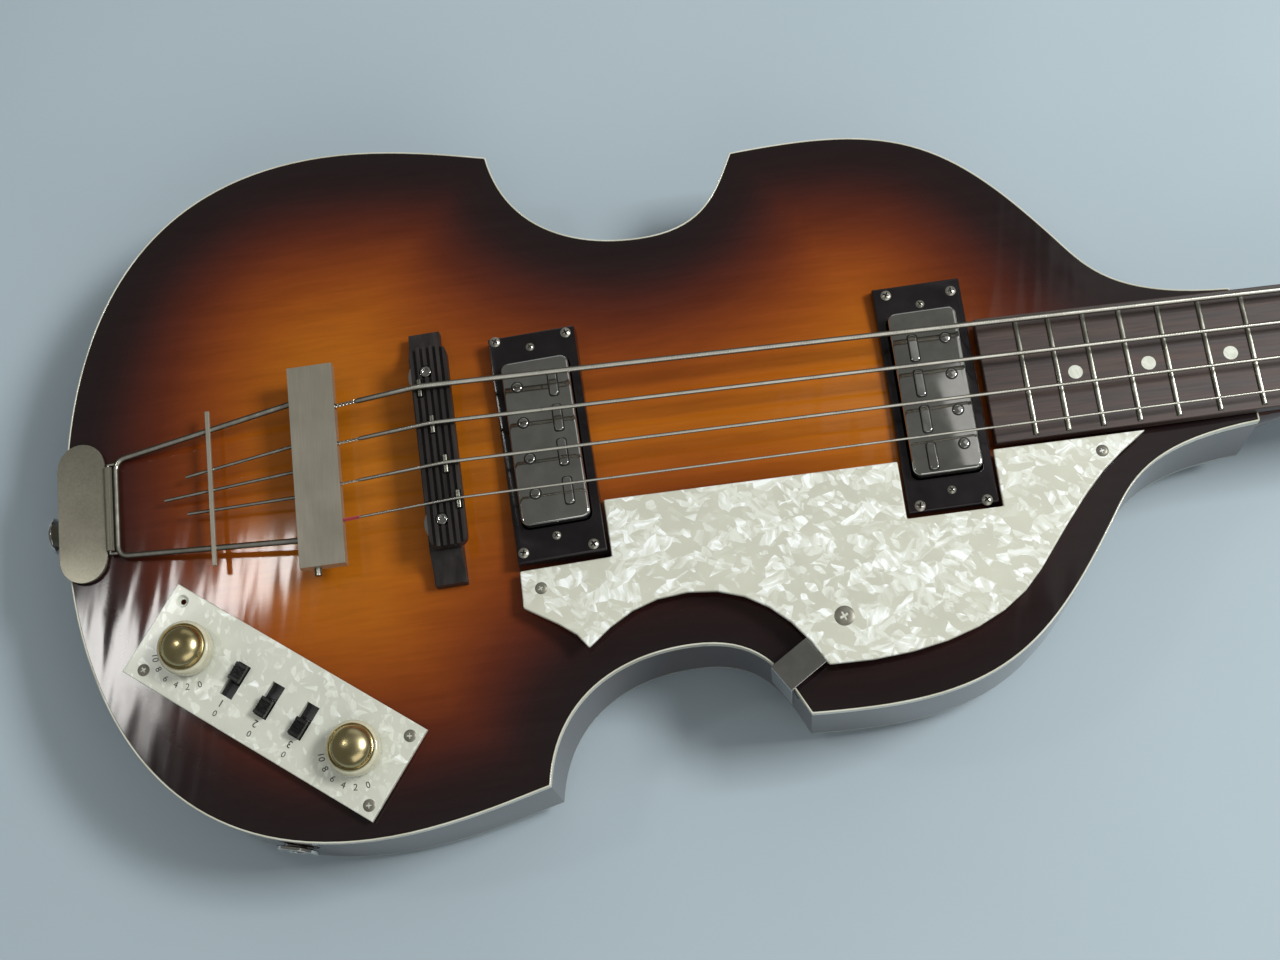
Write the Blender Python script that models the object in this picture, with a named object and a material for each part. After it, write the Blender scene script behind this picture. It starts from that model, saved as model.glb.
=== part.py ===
# Violin-shaped hollow-body electric bass guitar, lying on its back.
# Sizes are in metres. In the body's own frame x runs along the strings from the scale line towards
# the head, y points to the bass side, and z = 0 is the crown of the back. The finished instrument is
# then leaned until its head and its back both meet the table, with the origin under its middle.
import math

import bmesh
import bpy
import numpy as np
from mathutils import Matrix, Vector

# Fits
GAP = 0.0003
RUNNING_GAP = 0.0004

# Strings and scale
SCALE_LENGTH = 0.760
FRET_COUNT = 22
STRING_RADII = (0.0011, 0.00085, 0.0007, 0.0005)
NUT_STRING_SPACING = 0.0105

# Body outline, half of it: the bass side
TAIL_X = -0.1705
NECK_JOINT_X = 0.300
NECK_JOINT_HALF = 0.028
LOWER_BOUT_X = -0.056
LOWER_BOUT_HALF = 0.1435
LOWER_CORNER_X = 0.0124
LOWER_CORNER_HALF = 0.132
WAIST_X = 0.0717
WAIST_HALF = 0.0858
UPPER_CORNER_X = 0.1131
UPPER_CORNER_HALF = 0.1179
UPPER_BOUT_X = 0.136
UPPER_BOUT_HALF = 0.1186
SHOULDER_X = 0.240
SHOULDER_HALF = 0.0555

# Body depth
BACK_ARCH = 0.009
RIM_DEPTH = 0.044
TOP_ARCH = 0.010
CROWN_X = 0.040
PLATE_THICKNESS = 0.003
BACK_FLAT_DEPTH = 0.0006
RIM_THICKNESS = 0.004
BINDING_WIDTH = 0.0016
BINDING_HEIGHT = 0.005

# Blocks inside the body
NECK_BLOCK_LENGTH = 0.034
NECK_BLOCK_HALF = 0.022
TAIL_BLOCK_LENGTH = 0.018
TAIL_BLOCK_HALF = 0.018

# Neck
NECK_ANGLE = math.radians(2.75)
FRET_RISE_AT_JOINT = 0.0066
FRET_HEIGHT = 0.001
FRET_WIDTH = 0.0020
BOARD_THICKNESS = 0.005
BOARD_END_X = 0.1975
BOARD_HALF_AT_NUT = 0.021
BOARD_HALF_AT_LAST_FRET = 0.0257
NECK_DEPTH_AT_NUT = 0.0150
NECK_DEPTH_AT_JOINT = 0.0185
HEEL_LENGTH = 0.034
HEEL_DEPTH = 0.041
TENON_HALF = 0.014
TENON_LENGTH = 0.028
TENON_DEPTH = 0.026
TENON_TOP_DROP = 0.009
ROD_RADIUS = 0.0025
ROD_CHANNEL_DEPTH = 0.008
NUT_THICKNESS = 0.005
NUT_RISE = 0.0012

# Headstock and tuners
HEAD_ANGLE = math.radians(10.0)
HEAD_LENGTH = 0.158
HEAD_THICKNESS = 0.0145
HEAD_HALF_AT_SHOULDER = 0.033
HEAD_HALF_AT_TOP = 0.038
POST_X = (0.046, 0.108)
POST_Y = 0.0215
POST_RADIUS = 0.0045
POST_HEIGHT = 0.014
HOUSING_LENGTH = 0.024
HOUSING_WIDTH = 0.017
HOUSING_DEPTH = 0.0095
HOUSING_WALL = 0.0015
TUNER_PLATE_THICKNESS = 0.0012
GEAR_RADIUS = 0.0058
GEAR_TEETH = 16
GEAR_WIDTH = 0.0035
GEAR_TOOTH = 0.0007
WORM_RADIUS = 0.0024
KEY_SHAFT_RADIUS = 0.0016
KEY_REACH = 0.014
KEY_HALF_WIDTH = 0.011
KEY_LENGTH = 0.021
KEY_THICKNESS = 0.003

# Bridge
BRIDGE_X = -0.0160
BRIDGE_SKEW = math.radians(1.15)
BRIDGE_BASE_WIDTH = 0.0124
BRIDGE_BASE_OFFSET = -0.0012
BRIDGE_BASE_LENGTH = 0.1044
BRIDGE_FOOT_HEIGHT = 0.0045
BRIDGE_BASE_HEIGHT = 0.0068
BRIDGE_BASE_STEP = 0.040
BRIDGE_TOP_OFFSET = 0.0016
BRIDGE_TOP_WIDTH = 0.0145
BRIDGE_TOP_LENGTH = 0.0815
BRIDGE_TOP_THICKNESS = 0.0047
BRIDGE_GROOVES = 5
BRIDGE_GROOVE_WIDTH = 0.0012
BRIDGE_GROOVE_DEPTH = 0.0016
BRIDGE_DROP = 0.0014
SADDLE_SPOTS = ((-0.0189, 0.0234), (-0.0155, 0.0079), (-0.0121, -0.0088), (-0.0087, -0.0236))
SADDLE_LENGTH = 0.0070
SADDLE_WIDTH = 0.0018
SADDLE_RISE = 0.0012
BRIDGE_POST_Y = 0.0302
BRIDGE_POST_RADIUS = 0.0021
WHEEL_RADIUS = 0.0078
WHEEL_THICKNESS = 0.0022

# Pickups
BRIDGE_PICKUP_X = 0.0262
NECK_PICKUP_X = 0.1777
PICKUP_Y = -0.0018
BRIDGE_PICKUP_SKEW = math.radians(1.8)
BRIDGE_RING_TOP = 0.0150
NECK_RING_TOP = 0.0090
RING_LENGTH = 0.0960
RING_WIDTH = 0.0355
RING_SLOPE = 0.0016
COVER_LENGTH = 0.0670
COVER_WIDTH = 0.0266
COVER_RISE = 0.0046
COVER_DEPTH = 0.0130
COVER_WALL = 0.0008
COVER_CORNER = 0.0030
PICKUP_PLAY = 0.0005
COIL_DEPTH = 0.0110

# Tailpiece
BRACKET_WIDTH = 0.0180
BRACKET_LENGTH = 0.0585
BRACKET_THICKNESS = 0.0015
BRACKET_LEG_HALF = 0.0150
BRACKET_LEG_DROP = 0.035
BRACKET_RISE = 0.0012
BARREL_RADIUS = 0.0017
BARREL_BORE = 0.0011
BARREL_HALF = 0.0175
HINGE_PIN_RADIUS = 0.0008
HINGE_PIN_LENGTH = 0.004
WIRE_RADIUS = 0.0012
WIRE_HALF_AT_HINGE = 0.0195
WIRE_HALF_AT_BLOCK = 0.0292
WIRE_HINGE_SPACING = 0.0032
BLOCK_X = -0.0630
BLOCK_WIDTH = 0.0178
BLOCK_LENGTH = 0.0820
BLOCK_TOP = 0.0225
BLOCK_SKIRT = 0.0052
BLOCK_WALL = 0.0012
ANCHOR_WIDTH = 0.0120
ANCHOR_THICKNESS = 0.0050
STRING_UNDER_ANCHOR_TOP = 0.0015
CROSSBAR_X = -0.1075
CROSSBAR_HALF = 0.0320
CROSSBAR_WIDTH = 0.0018
PRONG_RADIUS = 0.0007
PRONG_ENDS = ((-0.1180, 0.0070, 0.0112), (-0.1275, -0.0010, 0.0), (-0.1180, -0.0084, -0.0110))

# Strap buttons
BUTTON_RADIUS = 0.0078
BUTTON_WAIST = 0.0035
BUTTON_HEIGHT = 0.0110
BUTTON_SCREW_RADIUS = 0.0019
BUTTON_SCREW_LENGTH = 0.020
HEEL_BUTTON_SHARE = 0.25
HEEL_BUTTON_SEAT = 0.0012
HEEL_SCREW_LENGTH = 0.010

# Control plate
CONTROL_X = -0.0897
CONTROL_Y = -0.0862
CONTROL_TURN = math.radians(-37.1)
CONTROL_LENGTH = 0.1165
CONTROL_WIDTH = 0.0397
CONTROL_THICKNESS = 0.0022
KNOB_SPREAD = 0.0390
KNOB_RADIUS = 0.0102
KNOB_DOME_RADIUS = 0.0088
KNOB_SKIRT_HEIGHT = 0.0085
KNOB_DOME_HEIGHT = 0.0060
KNOB_LIFT = 0.0008
SHAFT_RADIUS = 0.0030
SHAFT_LENGTH = 0.012
BUSH_RADIUS = 0.0040
POT_RADIUS = 0.0120
POT_DEPTH = 0.0090
POT_SHOULDER = 0.0040
SWITCH_SPACING = 0.0160
SWITCH_OFFSET = -0.0008
SWITCH_SLOT_LENGTH = 0.0142
SWITCH_SLOT_WIDTH = 0.0056
SWITCH_BUTTON_LENGTH = 0.0072
SWITCH_BUTTON_RISE = 0.0036
SWITCH_BODY_DEPTH = 0.0065
SWITCH_WALL = 0.0012
SWITCH_FLANGE = 0.0012
SWITCHES_DOWN = (False, True, True)

# Output jack in the treble rim
JACK_X = -0.0900
JACK_FLANGE_RADIUS = 0.0085
JACK_FLANGE_THICKNESS = 0.0016
JACK_BODY_RADIUS = 0.0055
JACK_BODY_LENGTH = 0.022
JACK_BORE_RADIUS = 0.00325
JACK_BORE_LENGTH = 0.018

# Pickguard
GUARD_TOP = 0.0122
GUARD_TILT = math.radians(0.85)
GUARD_THICKNESS = 0.0023
GUARD_EDGE_Y = -0.0267
GUARD_TIP_X = 0.2546
GUARD_CORNER_X = 0.1220
GUARD_CORNER_Y = -0.1022
GUARD_POINT_X = 0.0336
GUARD_POINT_Y = -0.0840
GUARD_NOTCH_GAP = 0.0006
GUARD_BRACKET_X = 0.1095
GUARD_BRACKET_WIDTH = 0.0120
GUARD_BRACKET_THICKNESS = 0.0013
GUARD_BRACKET_REACH = 0.0225
GUARD_BRACKET_DROP = 0.020

# Round pieces: faces round a full turn
ROUND_STEPS = 24
SMALL_ROUND_STEPS = 16

RIM_TOP = BACK_ARCH + RIM_DEPTH
CUTTER_REACH = 0.10


# Scene and materials

def clear_scene():
    for item in list(bpy.data.objects):
        bpy.data.objects.remove(item, do_unlink=True)


def make_material(name, colour, roughness, metallic):
    material = bpy.data.materials.new(name)
    material.use_nodes = True
    shader = material.node_tree.nodes["Principled BSDF"]
    shader.inputs["Base Color"].default_value = (*colour, 1.0)
    shader.inputs["Roughness"].default_value = roughness
    shader.inputs["Metallic"].default_value = metallic
    return material


def make_materials():
    looks = {
        "sunburst": ((0.50, 0.16, 0.02), 0.15, 0.0),
        "dark_lacquer": ((0.05, 0.015, 0.012), 0.15, 0.0),
        "cream_plastic": ((0.80, 0.76, 0.58), 0.30, 0.0),
        "pale_wood": ((0.62, 0.43, 0.24), 0.60, 0.0),
        "rosewood": ((0.12, 0.045, 0.028), 0.45, 0.0),
        "bone": ((0.85, 0.82, 0.70), 0.40, 0.0),
        "steel": ((0.55, 0.55, 0.56), 0.30, 1.0),
        "nickel": ((0.66, 0.64, 0.60), 0.28, 1.0),
        "brushed_nickel": ((0.58, 0.56, 0.52), 0.40, 1.0),
        "chrome": ((0.78, 0.78, 0.80), 0.08, 1.0),
        "ebony": ((0.018, 0.015, 0.014), 0.40, 0.0),
        "black_plastic": ((0.012, 0.012, 0.013), 0.25, 0.0),
        "pearl": ((0.80, 0.80, 0.70), 0.25, 0.0),
        "gold": ((0.83, 0.60, 0.25), 0.15, 1.0),
        "coil": ((0.25, 0.08, 0.04), 0.55, 0.0),
        "string": ((0.62, 0.61, 0.58), 0.35, 1.0),
    }
    return {name: make_material(name, *look) for name, look in looks.items()}


def make_frame(name, parent, matrix):
    empty = bpy.data.objects.new(name, None)
    bpy.context.collection.objects.link(empty)
    empty.parent = parent
    empty.matrix_local = matrix
    return empty


# Mesh helpers: each one returns a bmesh

def make_solid(name, mesh_data, material, parent, matrix=None, sharp=35.0):
    bmesh.ops.remove_doubles(mesh_data, verts=mesh_data.verts, dist=1e-7)
    bmesh.ops.recalc_face_normals(mesh_data, faces=mesh_data.faces)
    mesh = bpy.data.meshes.new(name)
    mesh_data.to_mesh(mesh)
    mesh_data.free()
    mesh.shade_smooth()
    mesh.set_sharp_from_angle(angle=math.radians(sharp))
    item = bpy.data.objects.new(name, mesh)
    bpy.context.collection.objects.link(item)
    item.parent = parent
    if matrix is not None:
        item.matrix_local = matrix
    if material is not None:
        mesh.materials.append(material)
    return item


def make_tool(name, mesh_data, parent, matrix=None):
    tool = make_solid(name, mesh_data, None, parent, matrix)
    tool.hide_render = True
    tool.display_type = "WIRE"
    return tool


def apply_tool(item, tool, operation):
    modifier = item.modifiers.new(operation.lower(), "BOOLEAN")
    modifier.object = tool
    modifier.operation = operation
    modifier.solver = "EXACT"


def cut(item, *tools):
    for tool in tools:
        apply_tool(item, tool, "DIFFERENCE")


def fuse(item, *tools):
    for tool in tools:
        apply_tool(item, tool, "UNION")


def block(low, high, corner=0.0, segments=2, upright_only=False):
    mesh_data = bmesh.new()
    size = [high[i] - low[i] for i in range(3)]
    middle = [(high[i] + low[i]) / 2 for i in range(3)]
    bmesh.ops.create_cube(mesh_data, size=1.0)
    bmesh.ops.scale(mesh_data, vec=size, verts=mesh_data.verts)
    bmesh.ops.translate(mesh_data, vec=middle, verts=mesh_data.verts)
    if corner > 0.0:
        edges = list(mesh_data.edges)
        if upright_only:
            edges = [e for e in edges if abs(e.verts[0].co.z - e.verts[1].co.z) > size[2] / 2]
        bmesh.ops.bevel(mesh_data, geom=edges, offset=corner, segments=segments, profile=0.5,
                        affect="EDGES", material=-1)
    return mesh_data


def prism(points, low, high):
    mesh_data = bmesh.new()
    corners = [mesh_data.verts.new((x, y, low)) for x, y in points]
    face = mesh_data.faces.new(corners)
    grown = bmesh.ops.extrude_face_region(mesh_data, geom=[face])
    lifted = [g for g in grown["geom"] if isinstance(g, bmesh.types.BMVert)]
    bmesh.ops.translate(mesh_data, vec=(0, 0, high - low), verts=lifted)
    return mesh_data


def turned(profile, steps=ROUND_STEPS):
    """Turn a closed profile of (radius, height) points round z."""
    mesh_data = bmesh.new()
    points = [mesh_data.verts.new((r, 0, z)) for r, z in profile]
    edges = [mesh_data.edges.new((a, b)) for a, b in zip(points, points[1:])]
    if profile[0][0] > 0:
        edges.append(mesh_data.edges.new((points[-1], points[0])))
    bmesh.ops.spin(mesh_data, geom=points + edges, cent=(0, 0, 0), axis=(0, 0, 1), dvec=(0, 0, 0),
                   angle=math.tau, steps=steps, use_merge=True)
    return mesh_data


def rectangle(half_x, half_y, z):
    return [(-half_x, -half_y, z), (half_x, -half_y, z), (half_x, half_y, z), (-half_x, half_y, z)]


def rod(radius, low, high, steps=SMALL_ROUND_STEPS):
    return turned([(0, low), (radius, low), (radius, high), (0, high)], steps)


def tube_between(start, end, radius, steps=8):
    start, end = Vector(start), Vector(end)
    mesh_data = rod(radius, 0.0, (end - start).length, steps)
    turn = (end - start).to_track_quat("Z", "Y").to_matrix().to_4x4()
    bmesh.ops.transform(mesh_data, matrix=Matrix.Translation(start) @ turn, verts=mesh_data.verts)
    return mesh_data


def loft(sections):
    """Skin a row of closed sections that have the same count of points."""
    mesh_data = bmesh.new()
    rings = [[mesh_data.verts.new(p) for p in section] for section in sections]
    for ring_a, ring_b in zip(rings, rings[1:]):
        for i in range(len(ring_a)):
            j = (i + 1) % len(ring_a)
            mesh_data.faces.new((ring_a[i], ring_a[j], ring_b[j], ring_b[i]))
    mesh_data.faces.new(reversed(rings[0]))
    mesh_data.faces.new(rings[-1])
    return mesh_data


# Body outline

def curve_points(start, start_way, start_pull, end, end_way, end_pull, steps):
    """Points of one cubic stretch, its last point left to the next stretch."""
    start_way, end_way = Vector(start_way).normalized(), Vector(end_way).normalized()
    start, end = Vector(start), Vector(end)
    handle_a = start + start_way * start_pull
    handle_b = end - end_way * end_pull
    points = []
    for step in range(steps):
        t = step / steps
        u = 1.0 - t
        points.append(u ** 3 * start + 3 * u * u * t * handle_a + 3 * u * t * t * handle_b + t ** 3 * end)
    return points


def half_outline():
    """The bass side of the body's edge, from the tail to the neck joint."""
    tail = (TAIL_X, 0.0)
    lower_bout = (LOWER_BOUT_X, LOWER_BOUT_HALF)
    lower_corner = (LOWER_CORNER_X, LOWER_CORNER_HALF)
    waist = (WAIST_X, WAIST_HALF)
    upper_corner = (UPPER_CORNER_X, UPPER_CORNER_HALF)
    upper_bout = (UPPER_BOUT_X, UPPER_BOUT_HALF)
    shoulder = (SHOULDER_X, SHOULDER_HALF)
    joint = (NECK_JOINT_X, NECK_JOINT_HALF)
    shoulder_way = (0.57, -0.82)
    points = curve_points(tail, (0, 1), 0.049, lower_bout, (1, 0), 0.100, 15)
    points += curve_points(lower_bout, (1, 0), 0.028, lower_corner, (1, -0.235), 0.012, 5)
    points += curve_points(lower_corner, (0.15, -1), 0.033, waist, (1, 0), 0.0285, 8)
    points += curve_points(waist, (1, 0), 0.028, upper_corner, (0.45, 0.9), 0.0175, 6)
    points += curve_points(upper_corner, (1, 0.06), 0.007, upper_bout, (1, 0), 0.008, 2)
    points += curve_points(upper_bout, (1, 0), 0.053, shoulder, shoulder_way, 0.056, 9)
    points += curve_points(shoulder, shoulder_way, 0.016, joint, (1, -0.06), 0.040, 7)
    points.append(Vector(joint))
    return points


def inset_half(points, distance):
    """Move the half outline inwards, with mitred corners; the ends slide along their own lines."""
    moved = []
    for i, point in enumerate(points):
        before = points[i - 1] if i > 0 else Vector((points[1].x, -points[1].y))
        after = points[i + 1] if i + 1 < len(points) else Vector((point.x, -point.y))
        way_a = (point - before).normalized()
        way_b = (after - point).normalized()
        normal_a = Vector((way_a.y, -way_a.x))
        normal_b = Vector((way_b.y, -way_b.x))
        moved.append(point + distance * (normal_a + normal_b) / (1.0 + normal_a.dot(normal_b)))
    return moved


def full_outline(half):
    other = [Vector((p.x, -p.y)) for p in reversed(half[1:])]
    return list(half) + other


def half_width(x):
    half = half_outline()
    return float(np.interp(x, [p.x for p in half], [p.y for p in half]))


def top_long_arch(x):
    """Share of the top's arch on the centre line at x: full at the crown, flat again at the edges."""
    reach = (CROWN_X - TAIL_X) if x < CROWN_X else (NECK_JOINT_X - CROWN_X)
    power = 1.5 if x < CROWN_X else 1.0
    return math.cos(math.pi / 2 * min(abs(x - CROWN_X) / reach, 1.0) ** power) ** 2


def back_long_arch(x):
    middle = (TAIL_X + NECK_JOINT_X) / 2
    return 1.0 - min(abs(x - middle) / (middle - TAIL_X), 1.0) ** 3


def cross_arch(share):
    """Share of the arch that is left at this share of the half width."""
    return math.cos(math.pi / 2 * min(abs(share), 1.0)) ** 2


def top_height(x, y):
    """Height of the top's outer face above the rim."""
    return TOP_ARCH * top_long_arch(x) * cross_arch(y / max(half_width(x), GAP))


def sweep_edge(section):
    """Carry a closed section of (inset, height) points round the whole edge of the body."""
    half = half_outline()
    rails = {inset: full_outline(inset_half(half, inset)) for inset, _ in section}
    count = len(full_outline(half))
    mesh_data = bmesh.new()
    rings = []
    for i in range(count):
        rings.append([mesh_data.verts.new((*rails[inset][i], z)) for inset, z in section])
    for i in range(count):
        ring_a, ring_b = rings[i], rings[(i + 1) % count]
        for k in range(len(section)):
            n = (k + 1) % len(section)
            mesh_data.faces.new((ring_a[k], ring_a[n], ring_b[n], ring_b[k]))
    return mesh_data


def arched_slab(inset, shares, outer, inner):
    """A plate over the body's outline; outer and inner give its two faces' heights."""
    rows = inset_half(half_outline(), inset)
    mesh_data = bmesh.new()
    faces = []
    for height in (outer, inner):
        grid = []
        for row in rows:
            grid.append([mesh_data.verts.new((row.x, s * row.y, height(row.x, s))) for s in shares])
        faces.append(grid)
    for grid in faces:
        for row_a, row_b in zip(grid, grid[1:]):
            for k in range(len(shares) - 1):
                mesh_data.faces.new((row_a[k], row_a[k + 1], row_b[k + 1], row_b[k]))
    for row_a, row_b, low_a, low_b in zip(faces[0], faces[0][1:], faces[1], faces[1][1:]):
        for k in (0, -1):
            mesh_data.faces.new((row_a[k], row_b[k], low_b[k], low_a[k]))
    top_row, low_row = faces[0][-1], faces[1][-1]
    for k in range(len(shares) - 1):
        mesh_data.faces.new((top_row[k], top_row[k + 1], low_row[k + 1], low_row[k]))
    bmesh.ops.remove_doubles(mesh_data, verts=mesh_data.verts, dist=1e-6)
    return mesh_data


PLATE_SHARES = (-1.0, -0.88, -0.72, -0.54, -0.34, -0.14, 0.0, 0.14, 0.34, 0.54, 0.72, 0.88, 1.0)


def outer_top(x, share):
    return RIM_TOP + TOP_ARCH * top_long_arch(x) * cross_arch(share)


def inner_top(x, share):
    return outer_top(x, share) - PLATE_THICKNESS


def back_arch(x, share):
    return BACK_ARCH * (1.0 - back_long_arch(x) * cross_arch(share))


def outer_back(x, share):
    """The back's arch, with its crown flattened where it meets the table."""
    return max(back_arch(x, share), table_height(x))


def inner_back(x, share):
    return outer_back(x, share) + PLATE_THICKNESS


# Body pieces

def make_arch_tool(parent):
    """The solid under the top's outer face, which trims whatever stands on the top."""
    def raised_top(x, share):
        return outer_top(x, share) + GAP

    def low_floor(x, share):
        return BACK_ARCH
    return make_tool("arch_tool", arched_slab(0.0, PLATE_SHARES, raised_top, low_floor), parent)


def make_top_plate(parent, looks, openings):
    plate = make_solid("top_plate", arched_slab(BINDING_WIDTH + GAP, PLATE_SHARES, outer_top, inner_top),
                       looks["sunburst"], parent)
    cut(plate, *openings)
    return plate


def make_back_plate(parent, looks):
    return make_solid("back_plate", arched_slab(BINDING_WIDTH + GAP, PLATE_SHARES, outer_back, inner_back),
                      looks["dark_lacquer"], parent)


def make_rim(parent, looks, openings):
    rebate = BINDING_WIDTH + GAP
    low, high = BACK_ARCH, RIM_TOP
    section = [
        (0.0, low + BINDING_HEIGHT),
        (0.0, high - BINDING_HEIGHT),
        (rebate, high - BINDING_HEIGHT),
        (rebate, high - PLATE_THICKNESS - GAP),
        (RIM_THICKNESS, high - PLATE_THICKNESS - GAP),
        (RIM_THICKNESS, low + PLATE_THICKNESS + GAP),
        (rebate, low + PLATE_THICKNESS + GAP),
        (rebate, low + BINDING_HEIGHT),
    ]
    rim = make_solid("rim", sweep_edge(section), looks["dark_lacquer"], parent)
    cut(rim, *openings)
    return rim


def make_binding(name, parent, looks, edge, inner_edge):
    """A strip set in the rebate; edge is its outer face's height and inner_edge its seat."""
    section = [(0.0, inner_edge), (0.0, edge), (BINDING_WIDTH, edge), (BINDING_WIDTH, inner_edge)]
    return make_solid(name, sweep_edge(section), looks["cream_plastic"], parent)


def make_neck_block(parent, looks):
    low = (NECK_JOINT_X - RIM_THICKNESS - GAP - NECK_BLOCK_LENGTH, -NECK_BLOCK_HALF,
           BACK_ARCH + PLATE_THICKNESS + GAP)
    high = (NECK_JOINT_X - RIM_THICKNESS - GAP, NECK_BLOCK_HALF, RIM_TOP - PLATE_THICKNESS - GAP)
    neck_block = make_solid("neck_block", block(low, high), looks["pale_wood"], parent)
    cut(neck_block, make_tenon_tool("block_mortise", parent, GAP))
    return neck_block


def make_tail_block(parent, looks, screw_hole):
    curve_drop = RIM_THICKNESS + GAP + 0.0012
    low = (TAIL_X + curve_drop, -TAIL_BLOCK_HALF, BACK_ARCH + PLATE_THICKNESS + GAP)
    high = (TAIL_X + curve_drop + TAIL_BLOCK_LENGTH, TAIL_BLOCK_HALF, RIM_TOP - PLATE_THICKNESS - GAP)
    tail_block = make_solid("tail_block", block(low, high), looks["pale_wood"], parent)
    cut(tail_block, screw_hole)
    return tail_block


# Neck

NECK_MATRIX = (Matrix.Translation((NECK_JOINT_X, 0, RIM_TOP + FRET_RISE_AT_JOINT))
               @ Matrix.Rotation(NECK_ANGLE, 4, "Y"))
NUT_X = SCALE_LENGTH - NECK_JOINT_X
BOARD_FLOOR = -(FRET_HEIGHT + BOARD_THICKNESS)
NECK_FACE = BOARD_FLOOR - GAP
HEAD_MATRIX = (NECK_MATRIX @ Matrix.Translation((NUT_X + NUT_THICKNESS, 0, NECK_FACE))
               @ Matrix.Rotation(HEAD_ANGLE, 4, "Y"))


def fret_x(number):
    return NUT_X - SCALE_LENGTH * (1.0 - 2.0 ** (-number / 12.0))


def board_half(x):
    last = fret_x(FRET_COUNT)
    share = (NUT_X - x) / (NUT_X - last)
    return BOARD_HALF_AT_NUT + share * (BOARD_HALF_AT_LAST_FRET - BOARD_HALF_AT_NUT)


def tenon_box(clearance):
    """The neck's tongue in the body frame: low and high corners, grown by the clearance."""
    high_z = RIM_TOP - TENON_TOP_DROP
    low = (NECK_JOINT_X - RIM_THICKNESS - TENON_LENGTH - clearance, -TENON_HALF - clearance,
           high_z - TENON_DEPTH - clearance)
    high = (NECK_JOINT_X + 0.010, TENON_HALF + clearance, high_z + clearance)
    return low, high


def make_tenon_tool(name, parent, clearance):
    low, high = tenon_box(clearance)
    return make_tool(name, block(low, high), parent)


def heel_depth(x):
    """Depth of the neck below its face along the heel, x measured from the body's end."""
    t = (x - GAP) / HEEL_LENGTH
    return NECK_DEPTH_AT_JOINT + (HEEL_DEPTH - NECK_DEPTH_AT_JOINT) * (1.0 - math.sin(t * math.pi / 2))


def neck_section(x, half, depth, fullness, lean):
    """One half-round section of the shaft; lean keeps the heel's end face upright on the body."""
    section = []
    steps = 12
    for step in range(steps + 1):
        angle = math.pi * step / steps
        y = half * math.copysign(abs(math.cos(angle)) ** fullness, math.cos(angle))
        z = NECK_FACE - depth * math.sin(angle) ** fullness
        section.append((x - z * lean, y, z))
    return section


def make_neck(body_parent, neck_parent, looks, holes):
    sections = []
    heel_steps = 6
    for step in range(heel_steps + 1):
        t = step / heel_steps
        x = GAP + HEEL_LENGTH * t
        depth = heel_depth(x)
        fullness = 0.45 + 0.35 * t
        sections.append(neck_section(x, board_half(x), depth, fullness, math.tan(NECK_ANGLE) * (1.0 - t)))
    shaft_steps = 4
    for step in range(1, shaft_steps + 1):
        t = step / shaft_steps
        x = HEEL_LENGTH + (NUT_X + NUT_THICKNESS + HEAD_THICKNESS - HEEL_LENGTH) * t
        depth = NECK_DEPTH_AT_JOINT + (NECK_DEPTH_AT_NUT - NECK_DEPTH_AT_JOINT) * t
        sections.append(neck_section(x, board_half(min(x, NUT_X)), depth, 0.80, 0.0))
    neck = make_solid("neck", loft(sections), looks["dark_lacquer"], neck_parent)
    head_slope = Matrix.Translation(HEAD_MATRIX.translation) @ HEAD_MATRIX.to_3x3().to_4x4()
    above_head = block((-HEAD_THICKNESS * 2, -CUTTER_REACH, 0.0), (HEAD_LENGTH, CUTTER_REACH, CUTTER_REACH))
    cut(neck, make_tool("head_face_tool", above_head, body_parent, head_slope))
    paddle = prism(head_outline(), -HEAD_THICKNESS, -GAP / 10)
    head = make_tool("head_tool", paddle, body_parent, HEAD_MATRIX)
    tenon = make_tenon_tool("tenon_tool", body_parent, 0.0)
    fuse(neck, head, tenon)
    channel = block((GAP, -ROD_RADIUS - GAP, NECK_FACE - ROD_CHANNEL_DEPTH),
                    (NUT_X + NUT_THICKNESS + 0.016, ROD_RADIUS + GAP, NECK_FACE + CUTTER_REACH / 20))
    cut(neck, make_tool("rod_channel_tool", channel, neck_parent), *holes)
    return neck


def head_outline():
    """The headstock seen from above: a plain paddle that flares from the nut to a shallow crown."""
    half = curve_points((0.0005, BOARD_HALF_AT_NUT), (1, 0), 0.010,
                        (0.034, HEAD_HALF_AT_SHOULDER), (1, 0.25), 0.012, 5)
    half += curve_points((0.034, HEAD_HALF_AT_SHOULDER), (1, 0.25), 0.02,
                         (HEAD_LENGTH - 0.012, HEAD_HALF_AT_TOP), (1, 0.02), 0.03, 4)
    half += curve_points((HEAD_LENGTH - 0.012, HEAD_HALF_AT_TOP), (1, 0.02), 0.009,
                         (HEAD_LENGTH, 0.0), (0, -1), 0.030, 7)
    half.append(Vector((HEAD_LENGTH, 0.0)))
    other = [Vector((p.x, -p.y)) for p in reversed(half[:-1])]
    return half + other


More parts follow.
